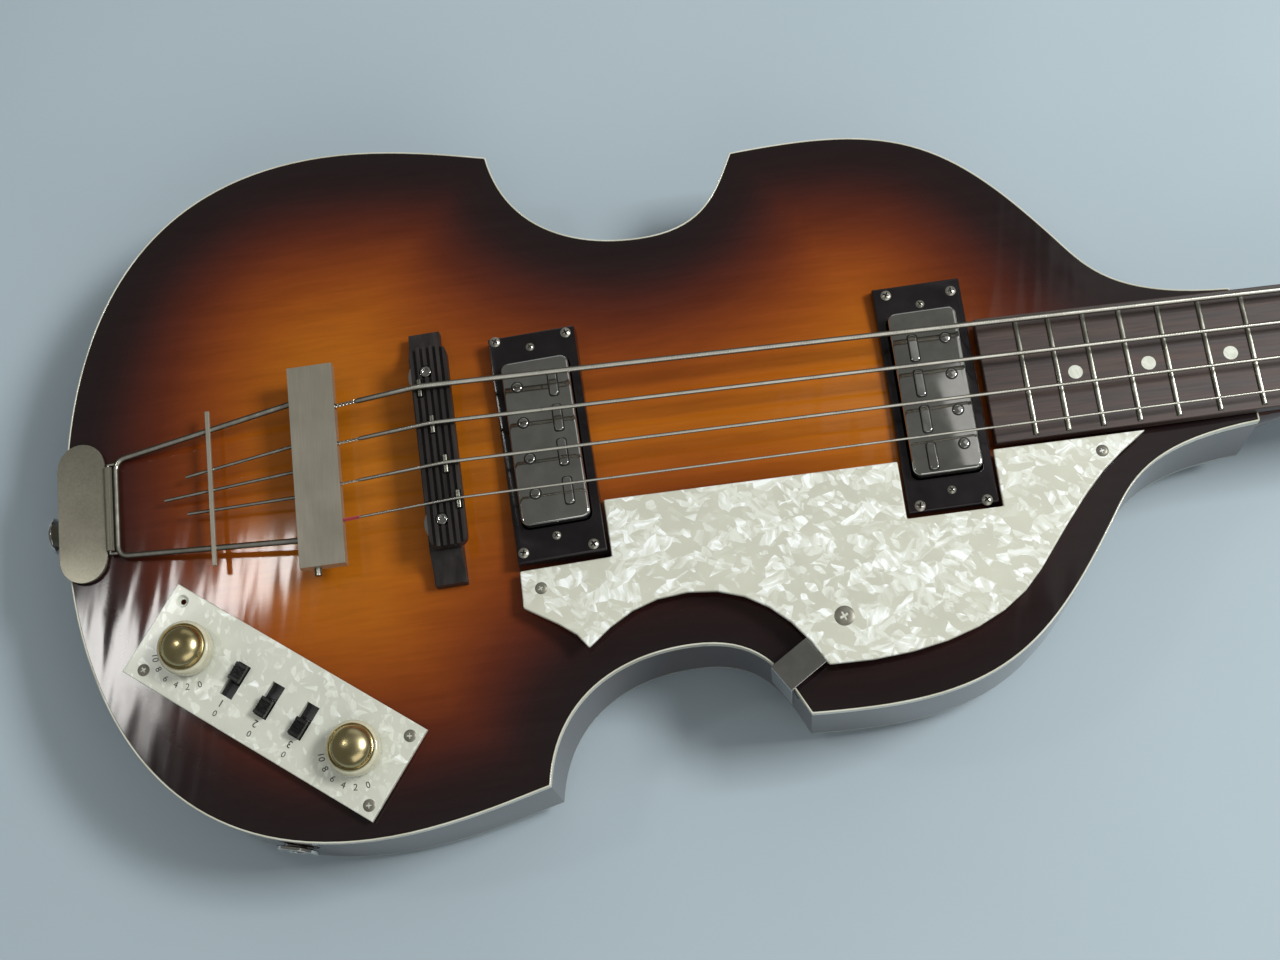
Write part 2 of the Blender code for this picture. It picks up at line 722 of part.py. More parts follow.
def make_fingerboard(parent, looks):
    """Board and fret crowns: a side profile carried across the tapering width."""
    end_x = BOARD_END_X - NECK_JOINT_X
    profile = [(end_x, BOARD_FLOOR), (NUT_X - GAP, BOARD_FLOOR), (NUT_X - GAP, -FRET_HEIGHT)]
    for number in range(1, FRET_COUNT + 1):
        x = fret_x(number)
        half = FRET_WIDTH / 2
        profile += [(x + half, -FRET_HEIGHT), (x + half * 0.5, 0.0), (x - half * 0.5, 0.0),
                    (x - half, -FRET_HEIGHT)]
    profile.append((end_x, -FRET_HEIGHT))
    mesh_data = bmesh.new()
    sides = []
    for side in (-1, 1):
        sides.append([mesh_data.verts.new((x, side * board_half(x), z)) for x, z in profile])
    for i in range(len(profile)):
        j = (i + 1) % len(profile)
        mesh_data.faces.new((sides[0][i], sides[0][j], sides[1][j], sides[1][i]))
    mesh_data.faces.new(sides[0])
    mesh_data.faces.new(reversed(sides[1]))
    return make_solid("fingerboard", mesh_data, looks["rosewood"], parent, sharp=20)


def nut_string_y(index):
    return NUT_STRING_SPACING * (1.5 - index)


def make_nut(parent, looks):
    low = (NUT_X, -BOARD_HALF_AT_NUT, NECK_FACE + GAP)
    high = (NUT_X + NUT_THICKNESS, BOARD_HALF_AT_NUT, NUT_RISE + STRING_RADII[0])
    nut = make_solid("nut", block(low, high, corner=0.0005, segments=1), looks["bone"], parent)
    for index, radius in enumerate(STRING_RADII):
        y = nut_string_y(index)
        slot_floor = NUT_RISE
        slot = block((NUT_X - 0.002, y - radius - GAP, slot_floor),
                     (NUT_X + NUT_THICKNESS + 0.002, y + radius + GAP, slot_floor + 0.006))
        cut(nut, make_tool(f"nut_slot_tool_{index}", slot, parent))
    return nut


def make_truss_rod(parent, looks):
    centre_z = NECK_FACE - ROD_CHANNEL_DEPTH + GAP + ROD_RADIUS
    far_x = NUT_X + NUT_THICKNESS + 0.008
    shaft = tube_between((ROD_RADIUS, 0, centre_z), (far_x, 0, centre_z), ROD_RADIUS, 12)
    return make_solid("truss_rod", shaft, looks["steel"], parent)


# Tuners: posts, keys and their plates, in the headstock's frame

HEAD_BACK = -HEAD_THICKNESS
GEAR_TOP = HEAD_BACK - TUNER_PLATE_THICKNESS - 0.0012
WORM_OFFSET = GEAR_RADIUS + WORM_RADIUS + RUNNING_GAP
WORM_Z = GEAR_TOP - GEAR_WIDTH / 2
HEAD_SIDES = (("bass", 1), ("treble", -1))


def tuner_places():
    """Name, place and side of each tuner, in the order of the strings."""
    return (("e", POST_X[0], POST_Y, 1), ("a", POST_X[1], POST_Y, 1),
            ("d", POST_X[1], -POST_Y, -1), ("g", POST_X[0], -POST_Y, -1))


def make_post_holes(parent):
    tools = []
    for name, x, y, side in tuner_places():
        hole = rod(POST_RADIUS + RUNNING_GAP, -HEAD_THICKNESS * 2, HEAD_THICKNESS)
        tools.append(make_tool(f"post_hole_{name}", hole, parent, Matrix.Translation((x, y, 0))))
    return tools


def gear_profile():
    points = []
    for tooth in range(GEAR_TEETH):
        for share, radius in ((0.0, GEAR_RADIUS - GEAR_TOOTH), (0.3, GEAR_RADIUS), (0.7, GEAR_RADIUS)):
            angle = math.tau * (tooth + share) / GEAR_TEETH
            points.append((radius * math.cos(angle), radius * math.sin(angle)))
    return points


def make_tuner_post(name, x, y, parent, looks):
    """String post and its gear wheel, turned as one on the post's axis."""
    low = GEAR_TOP - GEAR_WIDTH
    waist = POST_RADIUS * 0.8
    profile = [(0, GEAR_TOP - GAP), (POST_RADIUS, GEAR_TOP - GAP), (POST_RADIUS, POST_HEIGHT * 0.25),
               (waist, POST_HEIGHT * 0.4), (waist, POST_HEIGHT * 0.7), (POST_RADIUS, POST_HEIGHT * 0.85),
               (POST_RADIUS, POST_HEIGHT), (0, POST_HEIGHT)]
    place = Matrix.Translation((x, y, 0))
    shape = turned(profile, SMALL_ROUND_STEPS)
    post = make_solid(f"tuner_post_{name}", shape, looks["nickel"], parent, place)
    fuse(post, make_tool(f"gear_tool_{name}", prism(gear_profile(), low, GEAR_TOP), parent, place))
    return post


def make_tuner_key(name, x, y, side, parent, looks):
    """Worm, shaft and flat key in one piece, with its origin on the worm's axis."""
    wall_out = HOUSING_WIDTH / 2
    wall_in = wall_out - HOUSING_WALL - GAP
    start = wall_out + KEY_REACH
    into_wing = start + 0.002
    profile = [(0, -wall_in), (WORM_RADIUS, -wall_in), (WORM_RADIUS, wall_in), (KEY_SHAFT_RADIUS, wall_in),
               (KEY_SHAFT_RADIUS, into_wing), (0, into_wing)]
    along_y = Matrix.Rotation(-side * math.pi / 2, 4, "X")
    place = Matrix.Translation((x + WORM_OFFSET, y, WORM_Z)) @ along_y
    key = make_solid(f"tuner_key_{name}", turned(profile, 12), looks["nickel"], parent, place)
    wing = block((-KEY_HALF_WIDTH, -KEY_THICKNESS / 2, start),
                 (KEY_HALF_WIDTH, KEY_THICKNESS / 2, start + KEY_LENGTH))
    fat = [e for e in wing.edges if abs(e.verts[0].co.y - e.verts[1].co.y) > KEY_THICKNESS / 2]
    bmesh.ops.bevel(wing, geom=fat, offset=KEY_HALF_WIDTH * 0.6, segments=3, profile=0.5,
                    affect="EDGES", material=-1)
    fuse(key, make_tool(f"key_wing_tool_{name}", wing, parent, place))
    return key


def make_tuner_plate(name, side, parent, looks):
    """Plate on the headstock's back with a hollow gear housing for each tuner of one side."""
    y = side * POST_Y
    spread = HOUSING_LENGTH / 2 + 0.006
    middle = WORM_OFFSET / 2
    top = HEAD_BACK - GAP
    floor = top - TUNER_PLATE_THICKNESS - HOUSING_DEPTH
    flat = block((POST_X[0] + middle - spread, y - HOUSING_WIDTH / 2 - 0.001, top - TUNER_PLATE_THICKNESS),
                 (POST_X[1] + middle + spread, y + HOUSING_WIDTH / 2 + 0.001, top),
                 corner=0.003, segments=3, upright_only=True)
    plate = make_solid(f"tuner_plate_{name}", flat, looks["nickel"], parent)
    for number, x in enumerate(POST_X):
        centre = x + middle
        low = (centre - HOUSING_LENGTH / 2, y - HOUSING_WIDTH / 2, floor)
        high = (centre + HOUSING_LENGTH / 2, y + HOUSING_WIDTH / 2, top - TUNER_PLATE_THICKNESS / 2)
        shell = make_tool(f"housing_tool_{name}_{number}", block(low, high), parent)
        fuse(plate, shell)
    for number, x in enumerate(POST_X):
        centre = x + middle
        low = (centre - HOUSING_LENGTH / 2 + HOUSING_WALL, y - HOUSING_WIDTH / 2 + HOUSING_WALL,
               floor + HOUSING_WALL)
        high = (centre + HOUSING_LENGTH / 2 - HOUSING_WALL, y + HOUSING_WIDTH / 2 - HOUSING_WALL,
                top + 0.002)
        pocket = make_tool(f"pocket_tool_{name}_{number}", block(low, high), parent)
        hole = rod(KEY_SHAFT_RADIUS + RUNNING_GAP / 2, 0.0, HOUSING_WIDTH, 12)
        along_y = Matrix.Rotation(-side * math.pi / 2, 4, "X")
        shaft_hole = make_tool(f"shaft_hole_tool_{name}_{number}", hole, parent,
                               Matrix.Translation((x + WORM_OFFSET, y, WORM_Z)) @ along_y)
        cut(plate, pocket, shaft_hole)
    return plate


# Bridge

BRIDGE_MATRIX = (Matrix.Translation((BRIDGE_X, 0, RIM_TOP)) @ Matrix.Rotation(BRIDGE_SKEW, 4, "Z"))
BRIDGE_CROWN = TOP_ARCH + GAP
BRIDGE_BASE_TOP = BRIDGE_CROWN + BRIDGE_BASE_HEIGHT
WHEEL_LOW = BRIDGE_BASE_TOP + BRIDGE_DROP + GAP
BRIDGE_TOP_LOW = WHEEL_LOW + WHEEL_THICKNESS + GAP
BRIDGE_TOP_HIGH = BRIDGE_TOP_LOW + BRIDGE_TOP_THICKNESS
SADDLE_TOP = BRIDGE_TOP_HIGH + SADDLE_RISE
POST_SIDES = (("bass", BRIDGE_POST_Y), ("treble", -BRIDGE_POST_Y))


def make_bridge_base(parent, looks, arch_tool):
    """Ebony foot, cut to the top's arch underneath, stepped down to thin feet at both ends."""
    half = BRIDGE_BASE_LENGTH / 2
    foot = BRIDGE_CROWN + BRIDGE_FOOT_HEIGHT * 0.5
    step = BRIDGE_BASE_STEP
    side = [(-half, 0.0), (half, 0.0), (half, foot - 0.001), (step + 0.006, foot + 0.0005),
            (step, BRIDGE_BASE_TOP), (-step, BRIDGE_BASE_TOP), (-step - 0.006, foot + 0.0005),
            (-half, foot - 0.001)]
    stand = Matrix(((0, 0, 1, 0), (1, 0, 0, 0), (0, 1, 0, 0), (0, 0, 0, 1)))
    half_w = BRIDGE_BASE_WIDTH / 2
    shape = prism(side, BRIDGE_BASE_OFFSET - half_w, BRIDGE_BASE_OFFSET + half_w)
    bmesh.ops.transform(shape, matrix=stand, verts=shape.verts)
    base = make_solid("bridge_base", shape, looks["ebony"], parent, BRIDGE_MATRIX)
    cut(base, arch_tool)
    for name, y in POST_SIDES:
        hole = rod(BRIDGE_POST_RADIUS + GAP, BRIDGE_BASE_TOP - 0.006, BRIDGE_BASE_TOP + 0.002)
        place = BRIDGE_MATRIX @ Matrix.Translation((0, y, 0))
        cut(base, make_tool(f"base_hole_{name}", hole, parent, place))
    return base


def groove_x(number):
    pitch = (BRIDGE_TOP_WIDTH - BRIDGE_GROOVE_WIDTH * 2) / (BRIDGE_GROOVES - 1) * 0.86
    return BRIDGE_TOP_OFFSET + (number - (BRIDGE_GROOVES - 1) / 2) * pitch


def make_bridge_top(parent, looks):
    """Grooved ebony block that carries the saddles and rides up and down on the two posts."""
    half_w, half_l = BRIDGE_TOP_WIDTH / 2, BRIDGE_TOP_LENGTH / 2
    shape = block((BRIDGE_TOP_OFFSET - half_w, -half_l, BRIDGE_TOP_LOW),
                  (BRIDGE_TOP_OFFSET + half_w, half_l, BRIDGE_TOP_HIGH),
                  corner=0.0035, segments=3, upright_only=True)
    top = make_solid("bridge_top", shape, looks["ebony"], parent, BRIDGE_MATRIX)
    for number in range(BRIDGE_GROOVES):
        low_x = groove_x(number) - BRIDGE_GROOVE_WIDTH / 2
        groove = block((low_x, -half_l - 0.002, BRIDGE_TOP_HIGH - BRIDGE_GROOVE_DEPTH),
                       (low_x + BRIDGE_GROOVE_WIDTH, half_l + 0.002, BRIDGE_TOP_HIGH + 0.002))
        cut(top, make_tool(f"groove_tool_{number}", groove, parent, BRIDGE_MATRIX))
    for name, y in POST_SIDES:
        hole = rod(BRIDGE_POST_RADIUS + RUNNING_GAP, BRIDGE_TOP_LOW - 0.002, BRIDGE_TOP_HIGH + 0.002)
        place = BRIDGE_MATRIX @ Matrix.Translation((0, y, 0))
        cut(top, make_tool(f"top_hole_{name}", hole, parent, place))
    for index, radius in enumerate(STRING_RADII):
        seat = saddle_block(index, BRIDGE_TOP_HIGH - BRIDGE_GROOVE_DEPTH, BRIDGE_TOP_HIGH + 0.002, GAP)
        notch = tube_between(string_start(index)[0], saddle_point(index), radius + GAP)
        cut(top, make_tool(f"saddle_seat_{index}", seat, parent, BRIDGE_MATRIX),
            make_tool(f"string_notch_{index}", notch, parent))
    return top


def saddle_block(index, low, high, clearance):
    x, y = SADDLE_SPOTS[index]
    x = x - BRIDGE_X
    half_w, half_l = SADDLE_WIDTH / 2 + clearance, SADDLE_LENGTH / 2 + clearance
    return block((x - half_w, y - half_l, low), (x + half_w, y + half_l, high))


def make_saddle(name, index, parent, looks):
    shape = saddle_block(index, BRIDGE_TOP_HIGH - BRIDGE_GROOVE_DEPTH + GAP, SADDLE_TOP, 0.0)
    crown = [e for e in shape.edges if all(v.co.z > BRIDGE_TOP_HIGH for v in e.verts)
             and abs(e.verts[0].co.y - e.verts[1].co.y) > SADDLE_LENGTH / 2]
    bmesh.ops.bevel(shape, geom=crown, offset=SADDLE_WIDTH * 0.3, segments=2, profile=0.5,
                    affect="EDGES", material=-1)
    return make_solid(f"saddle_{name}", shape, looks["nickel"], parent, BRIDGE_MATRIX)


def make_bridge_post(name, y, parent, looks):
    shape = rod(BRIDGE_POST_RADIUS, BRIDGE_BASE_TOP - 0.006 + GAP, BRIDGE_TOP_HIGH - 0.0004, 12)
    return make_solid(f"bridge_post_{name}", shape, looks["chrome"], parent,
                      BRIDGE_MATRIX @ Matrix.Translation((0, y, 0)))


def make_thumbwheel(name, y, parent, looks):
    low, high = WHEEL_LOW, WHEEL_LOW + WHEEL_THICKNESS
    inner, rim_cut = BRIDGE_POST_RADIUS + RUNNING_GAP, 0.0004
    profile = [(inner, low), (WHEEL_RADIUS - rim_cut, low), (WHEEL_RADIUS, low + rim_cut),
               (WHEEL_RADIUS, high - rim_cut), (WHEEL_RADIUS - rim_cut, high), (inner, high)]
    return make_solid(f"thumbwheel_{name}", turned(profile), looks["chrome"], parent,
                      BRIDGE_MATRIX @ Matrix.Translation((0, y, 0)))


# Pickups

def pickup_matrix(x, skew):
    return Matrix.Translation((x, PICKUP_Y, RIM_TOP)) @ Matrix.Rotation(skew, 4, "Z")


PICKUPS = (("bridge", BRIDGE_PICKUP_X, BRIDGE_PICKUP_SKEW, BRIDGE_RING_TOP),
           ("neck", NECK_PICKUP_X, 0.0, NECK_RING_TOP))


def make_pickup_openings(parent):
    """Holes in the top that the two pickups hang through."""
    tools = []
    half_w, half_l = COVER_WIDTH / 2 + 0.001, COVER_LENGTH / 2 + 0.001
    for name, x, skew, ring_top in PICKUPS:
        hole = block((-half_w, -half_l, -0.010), (half_w, half_l, 0.030))
        tools.append(make_tool(f"pickup_hole_{name}", hole, parent, pickup_matrix(x, skew)))
    return tools


def make_pickup_ring(name, x, skew, ring_top, parent, looks, arch_tool):
    """Black mounting ring with sloping sides, cut to the arch underneath."""
    low = 0.0
    sections = []
    for z, shrink in ((low, 0.0), (ring_top - 0.0005, RING_SLOPE * 0.9), (ring_top, RING_SLOPE * 1.3)):
        half_w, half_l = RING_WIDTH / 2 - shrink * 0.4, RING_LENGTH / 2 - shrink
        sections.append(rectangle(half_w, half_l, z))
    place = pickup_matrix(x, skew)
    ring = make_solid(f"pickup_ring_{name}", loft(sections), looks["black_plastic"], parent, place)
    half_w, half_l = COVER_WIDTH / 2 + PICKUP_PLAY, COVER_LENGTH / 2 + PICKUP_PLAY
    window = block((-half_w, -half_l, -0.010), (half_w, half_l, ring_top + 0.010),
                   corner=COVER_CORNER, segments=3, upright_only=True)
    cut(ring, arch_tool, make_tool(f"ring_window_{name}", window, parent, place))
    return ring


def make_pickup_cover(name, x, skew, ring_top, parent, looks):
    """Plated cover, open underneath."""
    high = ring_top + COVER_RISE
    low = high - COVER_DEPTH
    half_w, half_l = COVER_WIDTH / 2, COVER_LENGTH / 2
    place = pickup_matrix(x, skew)
    shell = block((-half_w, -half_l, low), (half_w, half_l, high), corner=COVER_CORNER, segments=3,
                  upright_only=True)
    upper = [e for e in shell.edges if all(v.co.z > high - 1e-6 for v in e.verts)]
    bmesh.ops.bevel(shell, geom=upper, offset=0.0008, segments=2, profile=0.5, affect="EDGES", material=-1)
    cover = make_solid(f"pickup_cover_{name}", shell, looks["chrome"], parent, place)
    hollow = block((-half_w + COVER_WALL, -half_l + COVER_WALL, low - 0.002),
                   (half_w - COVER_WALL, half_l - COVER_WALL, high - COVER_WALL))
    cut(cover, make_tool(f"cover_hollow_{name}", hollow, parent, place))
    return cover


def make_pickup_coil(name, x, skew, ring_top, parent, looks):
    """Bobbin with its winding and magnet, on a base plate wider than the winding."""
    high = ring_top + COVER_RISE - COVER_WALL - GAP
    half_w, half_l = COVER_WIDTH / 2 - COVER_WALL - GAP, COVER_LENGTH / 2 - COVER_WALL - GAP
    flange = 0.0012
    winding = 0.0015
    place = pickup_matrix(x, skew)
    low = high - COIL_DEPTH
    levels = ((low, 0.0), (low + flange, 0.0), (low + flange, winding), (high - flange, winding),
              (high - flange, 0.0), (high, 0.0))
    sections = []
    for z, shrink in levels:
        sections.append(rectangle(half_w - shrink, half_l - shrink, z))
    return make_solid(f"pickup_coil_{name}", loft(sections), looks["coil"], parent, place)


# Tailpiece

BRACKET_TOP = RIM_TOP + BRACKET_RISE + BRACKET_THICKNESS
BRACKET_OUT_X = TAIL_X - GAP - BRACKET_THICKNESS
BRACKET_IN_X = BRACKET_OUT_X + BRACKET_WIDTH + 0.0015
BARREL_X = BRACKET_IN_X + BARREL_RADIUS * 0.75
BARREL_Z = BRACKET_TOP
WIRE_X = BARREL_X + WIRE_HINGE_SPACING
ANCHOR_TOP = RIM_TOP + BLOCK_TOP - BLOCK_WALL - GAP
WIRE_BLOCK_Z = ANCHOR_TOP - ANCHOR_THICKNESS / 2


def stadium(centre_x, width, length, steps=6):
    """A plate outline with two round ends."""
    radius = width / 2
    reach = length / 2 - radius
    points = []
    for side in (1, -1):
        for step in range(steps + 1):
            angle = math.pi * step / steps
            x = centre_x + side * radius * math.cos(angle)
            points.append((x, side * (reach + radius * math.sin(angle))))
    return points


def barrel_point(y):
    return Vector((BARREL_X, y, BARREL_Z))


def make_tailpiece_bracket(parent, looks, end_hole):
    """Bent plate over the tail edge, with a hinge barrel and a leg down the end of the body."""
    middle = (BRACKET_OUT_X + BRACKET_IN_X) / 2
    plate = prism(stadium(middle, BRACKET_IN_X - BRACKET_OUT_X, BRACKET_LENGTH),
                  BRACKET_TOP - BRACKET_THICKNESS, BRACKET_TOP)
    bracket = make_solid("tailpiece_bracket", plate, looks["brushed_nickel"], parent)
    leg = block((BRACKET_OUT_X, -BRACKET_LEG_HALF, BRACKET_TOP - BRACKET_LEG_DROP),
                (BRACKET_OUT_X + BRACKET_THICKNESS, BRACKET_LEG_HALF, BRACKET_TOP - BRACKET_THICKNESS / 2))
    barrel = tube_between(barrel_point(-BARREL_HALF), barrel_point(BARREL_HALF), BARREL_RADIUS, 12)
    bore = tube_between(barrel_point(-CUTTER_REACH), barrel_point(CUTTER_REACH), BARREL_BORE, 12)
    fuse(bracket, make_tool("bracket_leg_tool", leg, parent), make_tool("barrel_tool", barrel, parent))
    cut(bracket, make_tool("barrel_bore_tool", bore, parent), end_hole)
    return bracket


def wire_z(x):
    """Height of the frame's wires, rising from the hinge to the string anchor."""
    share = (x - WIRE_X) / (BLOCK_X - WIRE_X)
    return BARREL_Z + share * (WIRE_BLOCK_Z - BARREL_Z)


def side_wire(side, radius):
    start = (WIRE_X, side * WIRE_HALF_AT_HINGE, BARREL_Z)
    return tube_between(start, (BLOCK_X, side * WIRE_HALF_AT_BLOCK, WIRE_BLOCK_Z), radius)


def prong(number, radius):
    end_x, end_y, block_y = PRONG_ENDS[number]
    return tube_between((end_x, end_y, wire_z(end_x)), (BLOCK_X, block_y, WIRE_BLOCK_Z), radius)


def make_tailpiece_frame(parent, looks):
    """Bent wire frame with its string anchor, crossbar and prongs brazed together."""
    half_w, half_l = ANCHOR_WIDTH / 2, BLOCK_LENGTH / 2 - BLOCK_WALL - GAP
    anchor = block((BLOCK_X - half_w, -half_l, ANCHOR_TOP - ANCHOR_THICKNESS),
                   (BLOCK_X + half_w, half_l, ANCHOR_TOP))
    frame = make_solid("tailpiece_frame", anchor, looks["nickel"], parent)
    cross_end = WIRE_HALF_AT_HINGE + WIRE_RADIUS * 0.5
    pieces = [tube_between((WIRE_X, -cross_end, BARREL_Z), (WIRE_X, cross_end, BARREL_Z), WIRE_RADIUS)]
    for side in (1, -1):
        pieces.append(side_wire(side, WIRE_RADIUS))
        link_y = BARREL_HALF + HINGE_PIN_RADIUS + RUNNING_GAP
        link_start = barrel_point(side * link_y)
        pieces.append(tube_between(link_start, (WIRE_X, side * link_y, BARREL_Z), HINGE_PIN_RADIUS))
        pin_end = barrel_point(side * (BARREL_HALF - HINGE_PIN_LENGTH))
        pin_start = barrel_point(side * (link_y + HINGE_PIN_RADIUS))
        pieces.append(tube_between(pin_end, pin_start, HINGE_PIN_RADIUS))
    pieces += [prong(number, PRONG_RADIUS) for number in range(len(PRONG_ENDS))]
    bar_low = wire_z(CROSSBAR_X) + PRONG_RADIUS * 0.4
    pieces.append(block((CROSSBAR_X - CROSSBAR_WIDTH / 2, -CROSSBAR_HALF, bar_low),
                        (CROSSBAR_X + CROSSBAR_WIDTH / 2, CROSSBAR_HALF, bar_low + CROSSBAR_WIDTH)))
    for number, piece in enumerate(pieces):
        fuse(frame, make_tool(f"frame_wire_tool_{number}", piece, parent))
    return frame


def make_tailpiece_cover(parent, looks):
    """Folded cover over the string anchor, open underneath."""
    half_w, half_l = BLOCK_WIDTH / 2, BLOCK_LENGTH / 2
    high = RIM_TOP + BLOCK_TOP
    outer = block((BLOCK_X - half_w, -half_l, high - BLOCK_SKIRT), (BLOCK_X + half_w, half_l, high))
    cover = make_solid("tailpiece_cover", outer, looks["brushed_nickel"], parent)
    hollow = block((BLOCK_X - half_w + BLOCK_WALL, -half_l + BLOCK_WALL, high - BLOCK_SKIRT - 0.002),
                   (BLOCK_X + half_w - BLOCK_WALL, half_l - BLOCK_WALL, high - BLOCK_WALL))
    cut(cover, make_tool("tail_cover_hollow", hollow, parent))
    for number, side in enumerate((1, -1)):
        cut(cover, make_tool(f"cover_wire_hole_{number}", side_wire(side, WIRE_RADIUS + GAP), parent))
    for number in range(len(PRONG_ENDS)):
        cut(cover, make_tool(f"cover_prong_hole_{number}", prong(number, PRONG_RADIUS + GAP), parent))
    for index, radius in enumerate(STRING_RADII):
        start, way = string_start(index)
        hole = tube_between(start, start + way * 0.02, radius + GAP)
        cut(cover, make_tool(f"cover_string_hole_{index}", hole, parent))
    return cover


# Strap buttons

END_BUTTON_Z = BACK_ARCH + RIM_DEPTH / 2


def end_screw_hole():
    inner = TAIL_X + RIM_THICKNESS + TAIL_BLOCK_LENGTH
    return tube_between((BRACKET_OUT_X - 0.001, 0.0, END_BUTTON_Z), (inner, 0.0, END_BUTTON_Z),
                        BUTTON_SCREW_RADIUS + GAP, 12)


def button_profile(grip):
    """A strap button with its screw: the foot at height 0, the screw below it."""
    return [(0, -grip), (BUTTON_SCREW_RADIUS, -grip), (BUTTON_SCREW_RADIUS, 0.0),
            (BUTTON_RADIUS * 0.75, 0.0),
            (BUTTON_WAIST, BUTTON_HEIGHT * 0.35), (BUTTON_WAIST, BUTTON_HEIGHT * 0.55),
            (BUTTON_RADIUS, BUTTON_HEIGHT * 0.85), (BUTTON_RADIUS * 0.85, BUTTON_HEIGHT), (0, BUTTON_HEIGHT)]


def make_end_button(parent, looks):
    place = (Matrix.Translation((BRACKET_OUT_X - GAP, 0.0, END_BUTTON_Z))
             @ Matrix.Rotation(-math.pi / 2, 4, "Y"))
    return make_solid("end_strap_button", turned(button_profile(BUTTON_SCREW_LENGTH), SMALL_ROUND_STEPS),
                      looks["chrome"], parent, place)


def heel_button_matrix():
    """Square to the heel's curve, its seat sunk into the wood."""
    step = 0.001
    x = HEEL_LENGTH * HEEL_BUTTON_SHARE
    way = Vector((2 * step, 0, heel_depth(x - step) - heel_depth(x + step))).normalized()
    out = Vector((way.z, 0, -way.x))
    spot = Vector((x, 0, NECK_FACE - heel_depth(x))) - out * HEEL_BUTTON_SEAT
    return Matrix.Translation(spot) @ out.to_track_quat("Z", "Y").to_matrix().to_4x4()


def make_heel_button_seat(parent):
    """Round flat seat and screw hole in the heel."""
    foot, hole = BUTTON_RADIUS * 0.75 + GAP, BUTTON_SCREW_RADIUS + GAP
    profile = [(0, -HEEL_SCREW_LENGTH - GAP), (hole, -HEEL_SCREW_LENGTH - GAP), (hole, 0.0), (foot, 0.0),
               (foot, BUTTON_HEIGHT), (0, BUTTON_HEIGHT)]
    return make_tool("heel_seat_tool", turned(profile), parent, heel_button_matrix())


def make_heel_button(parent, looks):
    place = heel_button_matrix() @ Matrix.Translation((0, 0, GAP))
    return make_solid("heel_strap_button", turned(button_profile(HEEL_SCREW_LENGTH), SMALL_ROUND_STEPS),
                      looks["chrome"], parent, place)


# Control plate, knobs, pots and switches

def control_matrix():
    """The plate's middle and tilt: a flat plate laid on the arch over its four corners."""
    along = Vector((math.cos(CONTROL_TURN), math.sin(CONTROL_TURN)))
    across = Vector((-along.y, along.x))
    heights = {}
    for u in (-1, 1):
        for v in (-1, 1):
            spot = (Vector((CONTROL_X, CONTROL_Y)) + along * u * CONTROL_LENGTH / 2
                    + across * v * CONTROL_WIDTH / 2)
            heights[u, v] = top_height(spot.x, spot.y)
    slope_u = sum(u * h for (u, v), h in heights.items()) / 4 / (CONTROL_LENGTH / 2)
    slope_v = sum(v * h for (u, v), h in heights.items()) / 4 / (CONTROL_WIDTH / 2)
    lift = 0.0
    steps = 10
    for i in range(steps + 1):
        for j in range(steps + 1):
            u = (i / steps - 0.5) * CONTROL_LENGTH
            v = (j / steps - 0.5) * CONTROL_WIDTH
            spot = Vector((CONTROL_X, CONTROL_Y)) + along * u + across * v
            lift = max(lift, top_height(spot.x, spot.y) - slope_u * u - slope_v * v)
    x_way = Vector((along.x, along.y, slope_u)).normalized()
    normal = x_way.cross(Vector((across.x, across.y, slope_v))).normalized()
    y_way = normal.cross(x_way)
    turn = Matrix((x_way, y_way, normal)).transposed().to_4x4()
    return Matrix.Translation((CONTROL_X, CONTROL_Y, RIM_TOP + lift + GAP)) @ turn


def switch_u(index):
    return (index - 1) * SWITCH_SPACING - 0.001


def make_control_opening(parent, place):
    """The hole in the top under the plate, which the pots and switches hang through."""
    half_l, half_w = CONTROL_LENGTH / 2 - 0.006, POT_RADIUS + 0.0015
    opening = block((-half_l, -half_w, -0.015), (half_l, half_w, 0.010))
    return make_tool("control_opening", opening, parent, place)


def make_control_plate(parent, looks, place):
    half_l, half_w = CONTROL_LENGTH / 2, CONTROL_WIDTH / 2
    plate = make_solid("control_plate", block((-half_l, -half_w, 0.0), (half_l, half_w, CONTROL_THICKNESS)),
                       looks["pearl"], parent, place)
    for number, side in enumerate((-1, 1)):
        hole = rod(BUSH_RADIUS + GAP, -0.002, CONTROL_THICKNESS + 0.002)
        spot = place @ Matrix.Translation((side * KNOB_SPREAD, 0, 0))
        cut(plate, make_tool(f"bush_hole_{number}", hole, parent, spot))
    for index in range(len(SWITCHES_DOWN)):
        slot = block((-SWITCH_SLOT_WIDTH / 2, -SWITCH_SLOT_LENGTH / 2, -0.002),
                     (SWITCH_SLOT_WIDTH / 2, SWITCH_SLOT_LENGTH / 2, CONTROL_THICKNESS + 0.002))
        cut(plate, make_tool(f"switch_slot_{index}", slot, parent,
                             place @ Matrix.Translation((switch_u(index), SWITCH_OFFSET, 0))))
    return plate


